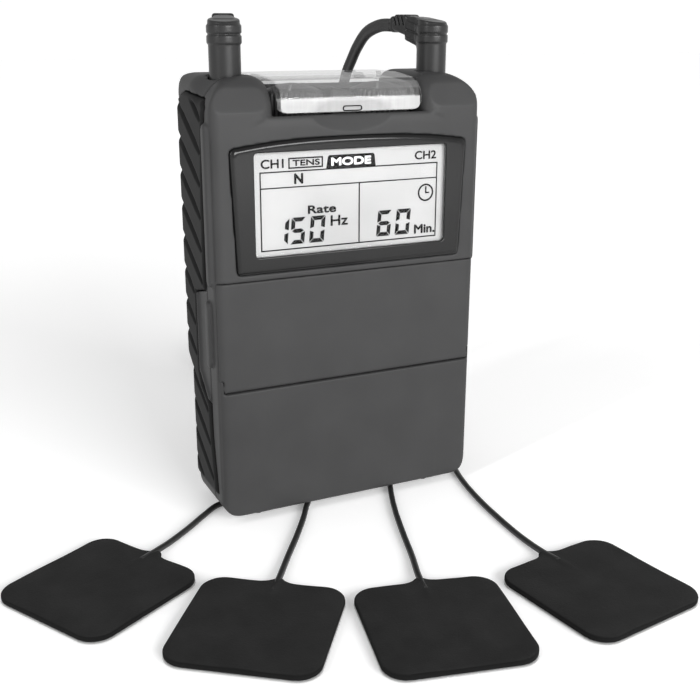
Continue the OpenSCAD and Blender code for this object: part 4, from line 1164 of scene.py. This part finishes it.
LEAD_TAIL = {
    1: [(0.6, 87, 1.6), (1, 82, 1.2), (1.5, 77.5, 1.1)],
    2: [(39.4, 87, 4), (39, 82, 2), (38.5, 77.5, 1.2)]}
COIL_AT = (20, 92)
COIL_R = 15
COIL_TURN = 2.9
COIL_ACROSS = 4
COIL_H = 3.2
LEG_ROUTES = [
    [(0.6, 69.3, 1.4), (-0.4, 64), (-4.5, 59.5), (-9.5, 56), (-13.4, 51.5),
     (-14.4, 46.5, 1.2), (-14, 41.9, 1.9)],
    [(2.4, 69.3, 1.4), (2.8, 63), (1, 57), (0.6, 51), (-0.8, 45), (-3.2, 40.5, 1.2),
     (-4, 35.9, 1.9)],
    [(37.6, 69.3, 1.4), (36.8, 63), (33, 58), (29.6, 52), (28.6, 46),
     (27.4, 39.5, 1.2), (27, 33.9, 1.9)],
    [(39.4, 69.3, 1.4), (40.6, 63), (44, 57), (45.4, 51), (44, 45), (42.6, 39.5, 1.2),
     (42, 33.9, 1.9)]]
# From each pad, under the base and to its socket
PIGTAIL_ROUTES = [
    [(-50.7, -20, 1.4), (-46.6, -16.9, 1.1), (-43, -13.8), (-37.5, -9.3), (-33, -5.2),
     (-28, -1.4), (-22, -1.6), (-15, -2.6), (-10, 0.5), (-9, 6),
     (-9.5, 11.5), (-12.5, 16), (-14, 20, 1.2), (-14, 24.1, 1.9)],
    [(-31.2, -42.3, 1.4), (-28.1, -37.8, 1.1), (-23.1, -30), (-17.9, -22.4), (-13.4, -15.4),
     (-10.4, -10.2), (-6.6, -4.6), (-4, 0.5), (-2.8, 5.5),
     (-2.7, 10.5), (-3.5, 14.5, 1.1), (-4, 18.1, 1.9)],
    [(-4.6, -54.2, 1.4), (-3.2, -49, 1.1), (-0.1, -40.6), (2.9, -31.2), (6.4, -21),
     (10.5, -11), (16, 0), (22, 8), (26.2, 12, 1), (27, 16.1, 1.9)],
    [(25, -56, 1.4), (24.5, -51, 1.1), (24.7, -43.2), (25.2, -34.2), (26.4, -23.4),
     (29.1, -10.6), (34, 2), (39.5, 9), (41.8, 13, 1.2), (42, 16.1, 1.9)]]
PAD_SIDE, PAD_ROUND = 28.3, 4.5
PADS = [(-60.3, -25.6, 30), (-37.5, -51, 54), (-7.2, -65, 77), (26.5, -66.9, 98)]
SOCKETS = [(-14, 24), (-4, 18), (27, 16), (42, 16)]


def build_plug(i, material):
    side = -1 if i == 1 else 1
    cx, cy = side * JACK_X, JACK_Y
    b = Block((cx - 6.2, cy - 4.4, 83.6), (cx + 6.2, cy + 12, 106.8), 0.17)
    # u runs along the arm, w across it
    along = -side * math.sin(PLUG_TURN), math.cos(PLUG_TURN)
    u = (b.x - cx) * along[0] + (b.y - cy) * along[1]
    w = np.abs((b.x - cx) * along[1] - (b.y - cy) * along[0])
    top = 104.3 + 0.17 * np.clip(u + 3, 0, 7)
    barrel = smax(rod(b.x, b.y, (cx, cy), 3.2), all_of(b.z - top, 84.2 - b.z), 0.45)
    under = np.where(u > 2.75, 99.4 + 0.35 * (u - 2.75), 99.2)
    arm = smax(all_of(w - 1.95, -u, u - 6.2), all_of(b.z - top, under - b.z), 0.35)
    body = smin(barrel, arm, 0.5)
    climb = 0.25 * np.clip(u - 2, 0, 4)
    for level in (100.95, 102.95):
        body = body - 0.28 * np.clip((0.95 - np.abs(b.z - level - climb)) / 0.3, 0, 1) * (u < 6)
    relief_low = 101.5 + 0.28 * (u - 5.8)
    relief = smax(all_of(w - 2.25, 5.7 - u, u - 9.7), all_of(relief_low - b.z, b.z - 105.95), 0.7)
    spine = np.maximum(b.z - 105.2, w - 1.7)
    for start in (6.7, 7.9, 9.0):
        slit = np.abs(u - start - (b.z - 104.5) * 0.35) - 0.2
        relief = smax(relief, -all_of(slit, -spine, 103.7 - b.z), 0.2)
    sleeve = smax(all_of(w - 1.35, 5 - u, u - 11.4), np.abs(b.z - 103.9) - 1.75, 0.8)
    body = smin(np.minimum(body, sleeve), relief, 0.2)
    return place(b.mesh(f"plug_{i}", body, material), "plug_plastic", f"plug_ch{i}")


def coil_turns(side, base):
    """A flat two-layer winding: in on the lower layer, out on the upper one, ending at the coil's side."""
    across, per_turn = COIL_ACROSS - 1, 24
    points = []
    for i in range(1, int((2 * across + 1.75) * per_turn) + 1):
        turn = i / per_turn
        lift = min(max(turn - across, 0), 1)
        inwards = min(turn, across) - min(max(turn - across - 1, 0), across)
        r = COIL_R + COIL_TURN * (across / 2 - inwards)
        angle = math.radians(-90) + 2 * math.pi * turn
        points.append((
            COIL_AT[0] - side * r * math.cos(angle), COIL_AT[1] + r * math.sin(angle),
            base + LEAD_T / 2 + 1.6 * lift))
    return points


def build_lead(i, black):
    side = -1 if i == 1 else 1
    start = [(side * x, y, z) for x, y, z in LEAD_START]
    route = start + LEAD_DROP[i] + coil_turns(side, 0 if i == 1 else COIL_H + 0.1) + LEAD_TAIL[i]
    path = smooth_path(route, 0.9)
    # The flat of the lead turns from sideways at the plug to level on the floor
    side_on = (-side * math.cos(PLUG_TURN), -math.sin(PLUG_TURN), 0)
    behind, up = (0, 1, 0.15), (0, 0, 1)
    ways = np.array([side_on, side_on, behind, behind, up, up])
    run = run_along(path)
    flat_way = np.stack([np.interp(run, (0, 28, 95, 122, 140, 1e4), ways[:, k]) for k in range(3)], 1)
    lead = sweep(f"lead_{i}", path, twin_section(LEAD_W, LEAD_T), flat_way, black)
    return place(lead, "cord_black", f"lead_ch{i}", f"coil_ch{i}"), path


def build_wire(name, route, black):
    """Where a route gives no height, the wire lies on the floor."""
    path = smooth_path([(*spot, WIRE_D / 2)[:3] for spot in route], 0.9)
    wire = sweep(name, path, round_section(WIRE_D), (0, 0, 1), black)
    return place(wire, "cord_black", name.replace("_cord", "")), path


def build_cord_ends(black, red):
    """Pin plugs, sockets, splitters and the tie round the coils."""
    ends = {}
    r = 1.9
    socket_rings = [
        (0.8, 0), (1.0, 0.05), (1.15, 0.9), (1.3, 1.6), (1.55, 2.2), (1.85, 2.6), (r, 3.0), (r, 4.2),
        (r - 0.2, 4.35), (r - 0.2, 4.75), (r, 4.9), (r, 5.6), (r - 0.2, 5.75), (r - 0.2, 6.15), (r, 6.3),
        (r, 8.7), (r - 0.2, 9.0), (1.0, 9.0)]
    plug_rings = [
        (1.0, 0), (r - 0.2, 0), (r, 0.25), (r, 1.0), (r - 0.25, 1.2), (r - 0.25, 1.6), (r, 1.8), (r, 2.5),
        (r - 0.25, 2.7), (r - 0.25, 3.1), (r, 3.3), (r, 5.2), (1.7, 5.6), (1.3, 6.2), (1.2, 7.4), (1.05, 8.9),
        (0.7, 9.0)]
    for i, (x, y) in enumerate(SOCKETS):
        socket = turned(f"socket_{i + 1}", socket_rings, (x, y, r), "y", black, 32)
        place(socket, "plug_plastic", *(["pad_sockets"] if i == 0 else []))
        look, slot_name = (red, "plug_red") if i % 2 == 0 else (black, "plug_plastic")
        plug = turned(f"pin_plug_{i + 1}", plug_rings, (x, y + 9.1, r), "y", look, 32)
        place(plug, slot_name, *({0: ["pin_plugs_red"], 1: ["pin_plugs_black"]}.get(i, [])))
        ends[i] = (socket, plug)
    for i in (1, 2):
        low, high = cad_extent(f"splitter_ch{i}")
        b = Block(low - 0.5, high + 0.5, 0.14)
        waist = 0.12 * np.cos((b.y - low[1]) * 2 * math.pi / 1.5) * (np.abs(b.y - low[1] - 4.5) < 3)
        made = b.mesh(f"splitter_{i}", box_field(b, low, high, 0.7) + 0.12 + waist, black)
        ends[f"splitter_{i}"] = place(made, "plug_plastic", f"splitter_ch{i}")
    low, high = cad_extent("lead_tie")
    b = Block(low - 0.4, high + 0.4, 0.16)
    outer = rounded_rect(b.y, b.z, low[1:], high[1:], (0.6, 0.6, 1.6, 1.6))
    band = smax(all_of(outer, -(outer + 0.55)), np.abs(b.x - COIL_AT[0]) - 2, 0.25)
    band = band + 0.06 * np.cos(b.x * 2 * math.pi / 0.8)
    ends["tie"] = place(b.mesh("lead_tie_look", band, black), "plug_plastic", "lead_tie")
    return ends


def build_pads(cloth, gel, film):
    pads = []
    half = PAD_SIDE / 2
    # Name, bottom, top, growth beyond the pad, grid step, look, slot, CAD node
    layers = (
        ("gel", 0.2, 0.7, -0.7, 0.16, gel, "gel", "pad_gels"),
        ("liner", 0.0, 0.2, 0.1, 0.1, film, "film", "pad_liners"))
    for i, (x, y, angle) in enumerate(PADS):
        b = Block((-15.6, -15.4, -0.2), (17.4, 15.4, 3.2), 0.2)
        square = rounded_rect(b.x, b.y, (-half, -half), (half, half), PAD_ROUND)
        # Foam settles a little unevenly and thins towards its cut edge
        phase = i * 1.7
        wave = 0.05 * np.sin(b.x * 0.33 + phase) * np.cos(b.y * 0.27 + 2 * phase)
        wave = wave + 0.03 * np.sin(b.y * 0.6 + phase)
        crown = 1.78 + wave - 0.2 * np.exp(square / 1.6)
        tongue = capsule(b.x, b.y, (half - 7, 0), (half + 1.3, 0), 0.55)
        # The edge turns down over the gel
        under = 0.72 - 0.4 * np.clip((square + 0.55) / 0.3, 0, 1)
        bead = 0.18 * np.exp(-(b.y / 0.8) ** 2) * np.clip((b.x - half + 8) / 3, 0, 1)
        foam = smax(smin(square, tongue, 3.8), all_of(under - b.z, b.z - crown - bead), 0.4)
        turn = Matrix.Translation((x * MM, y * MM, 0)) @ Matrix.Rotation(math.radians(angle), 4, "Z")
        pad = b.mesh(f"pad_{i + 1}_look", foam, cloth)
        pad.data.transform(turn)
        place(pad, "pad_cloth", f"pad_{i + 1}")
        for name, bottom, top, grow, step, look, slot_name, node in layers:
            c = Block((-15.2, -15.2, bottom - 0.3), (15.2, 15.2, top + 0.3), step)
            size = half + grow
            sheet_2d = rounded_rect(c.x, c.y, (-size, -size), (size, size), PAD_ROUND)
            layer = c.mesh(f"{name}_{i + 1}", smax(sheet_2d, slab(c.z, bottom, top), 0.08), look, 0.05)
            layer.data.transform(turn)
            place(layer, slot_name, *([node] if i == 0 else []))
        pads.append(pad)
    return pads


def build_cords(black, plug_black, red, cloth, gel, film):
    ends = build_cord_ends(plug_black, red)
    pads = build_pads(cloth, gel, film)
    for i in (1, 2):
        plug = build_plug(i, plug_black)
        lead, path = build_lead(i, black)
    for i in range(4):
        leg, path = build_wire(f"leg_wire_{i + 1}_cord", LEG_ROUTES[i], black)
        wire, path = build_wire(f"pigtail_{i + 1}_cord", PIGTAIL_ROUTES[i][::-1], black)


# ---------- making ----------

build_camera()
build_stage()

cord_black = rubber_cord("cord_black", 34)
plug_black = moulded("plug_black", 36, 0.34, 0.004, 4, shine=0.27)
plug_red = moulded("plug_red", 70, 0.4, 0.006, 5, (2.6, 0.25, 0.25))
housing_look = moulded("housing", 53, 0.5, 0.01, 4)
grip_look = moulded("grip_rubber", 26, 0.6, 0.012, 4, shine=0.1)
bezel_look = moulded("bezel", 22, 0.13, 0.0005, 2, shine=0.26)
knob_look = moulded("knob", 48, 0.42, 0.006, 4, shine=0.35)
clip_look = moulded("clip", 46, 0.5, 0.01, 4)
silicone_look = moulded("silicone", 150, 0.55, 0.01, 8)
component_look = moulded("component", 50, 0.45, 0.01, 4)
paint_white = moulded("paint_white", 225, 0.5, 0.004, 4)
paint_grey = moulded("paint_grey", 125, 0.5, 0.004, 4)
ink_black = moulded("ink_black", 14, 0.6, 0.001, 2, shine=0.05)
steel = metal("steel", (0.62, 0.62, 0.64), 0.3)
contact = metal("contact", (0.78, 0.7, 0.45), 0.3)
clear = clear_plastic("window_clear", 0.98, 0.06, 0.2)
guard_look = guard_painted_reflection()
guard_edge = clear_plastic("guard_edge", 0.82, 0.12)
gel_look = moulded("gel", 120, 0.25, 0.004, 6, (0.95, 1, 1.02), shine=0.5)
film_look = clear_plastic("film", 0.93, 0.1)

build_cords(cord_black, plug_black, plug_red, pad_cloth(), gel_look, film_look)
build_front_shell(housing_look)
build_back_shell(housing_look)
build_grips(grip_look)
build_bezel(bezel_look)
build_window(clear)
build_display(lcd_look(), ink_black, paint_white)
build_control_door(housing_look)
build_buttons(silicone_look, ink_black)
build_knobs(knob_look, paint_grey)
build_guard(guard_look, guard_edge, ink_black)
build_battery(battery_jacket(), steel)
build_battery_door(housing_look)
build_clip(clip_look)
build_clip_spring(steel)
build_screws(steel)

for name in ("lcd_connectors", "keypad_sheet"):
    dress(name, silicone_look)
dress("circuit_board", board_look(), 0)
for name in ("transformer_ch1", "transformer_ch2", "clip_pin", "board_screws"):
    dress(name, steel)
for name in ("jack_ch1", "jack_ch2", "potentiometer_ch1", "potentiometer_ch2"):
    dress(name, component_look)
for name in ("battery_contacts", "plug_pins"):
    dress(name, contact, 0.1)
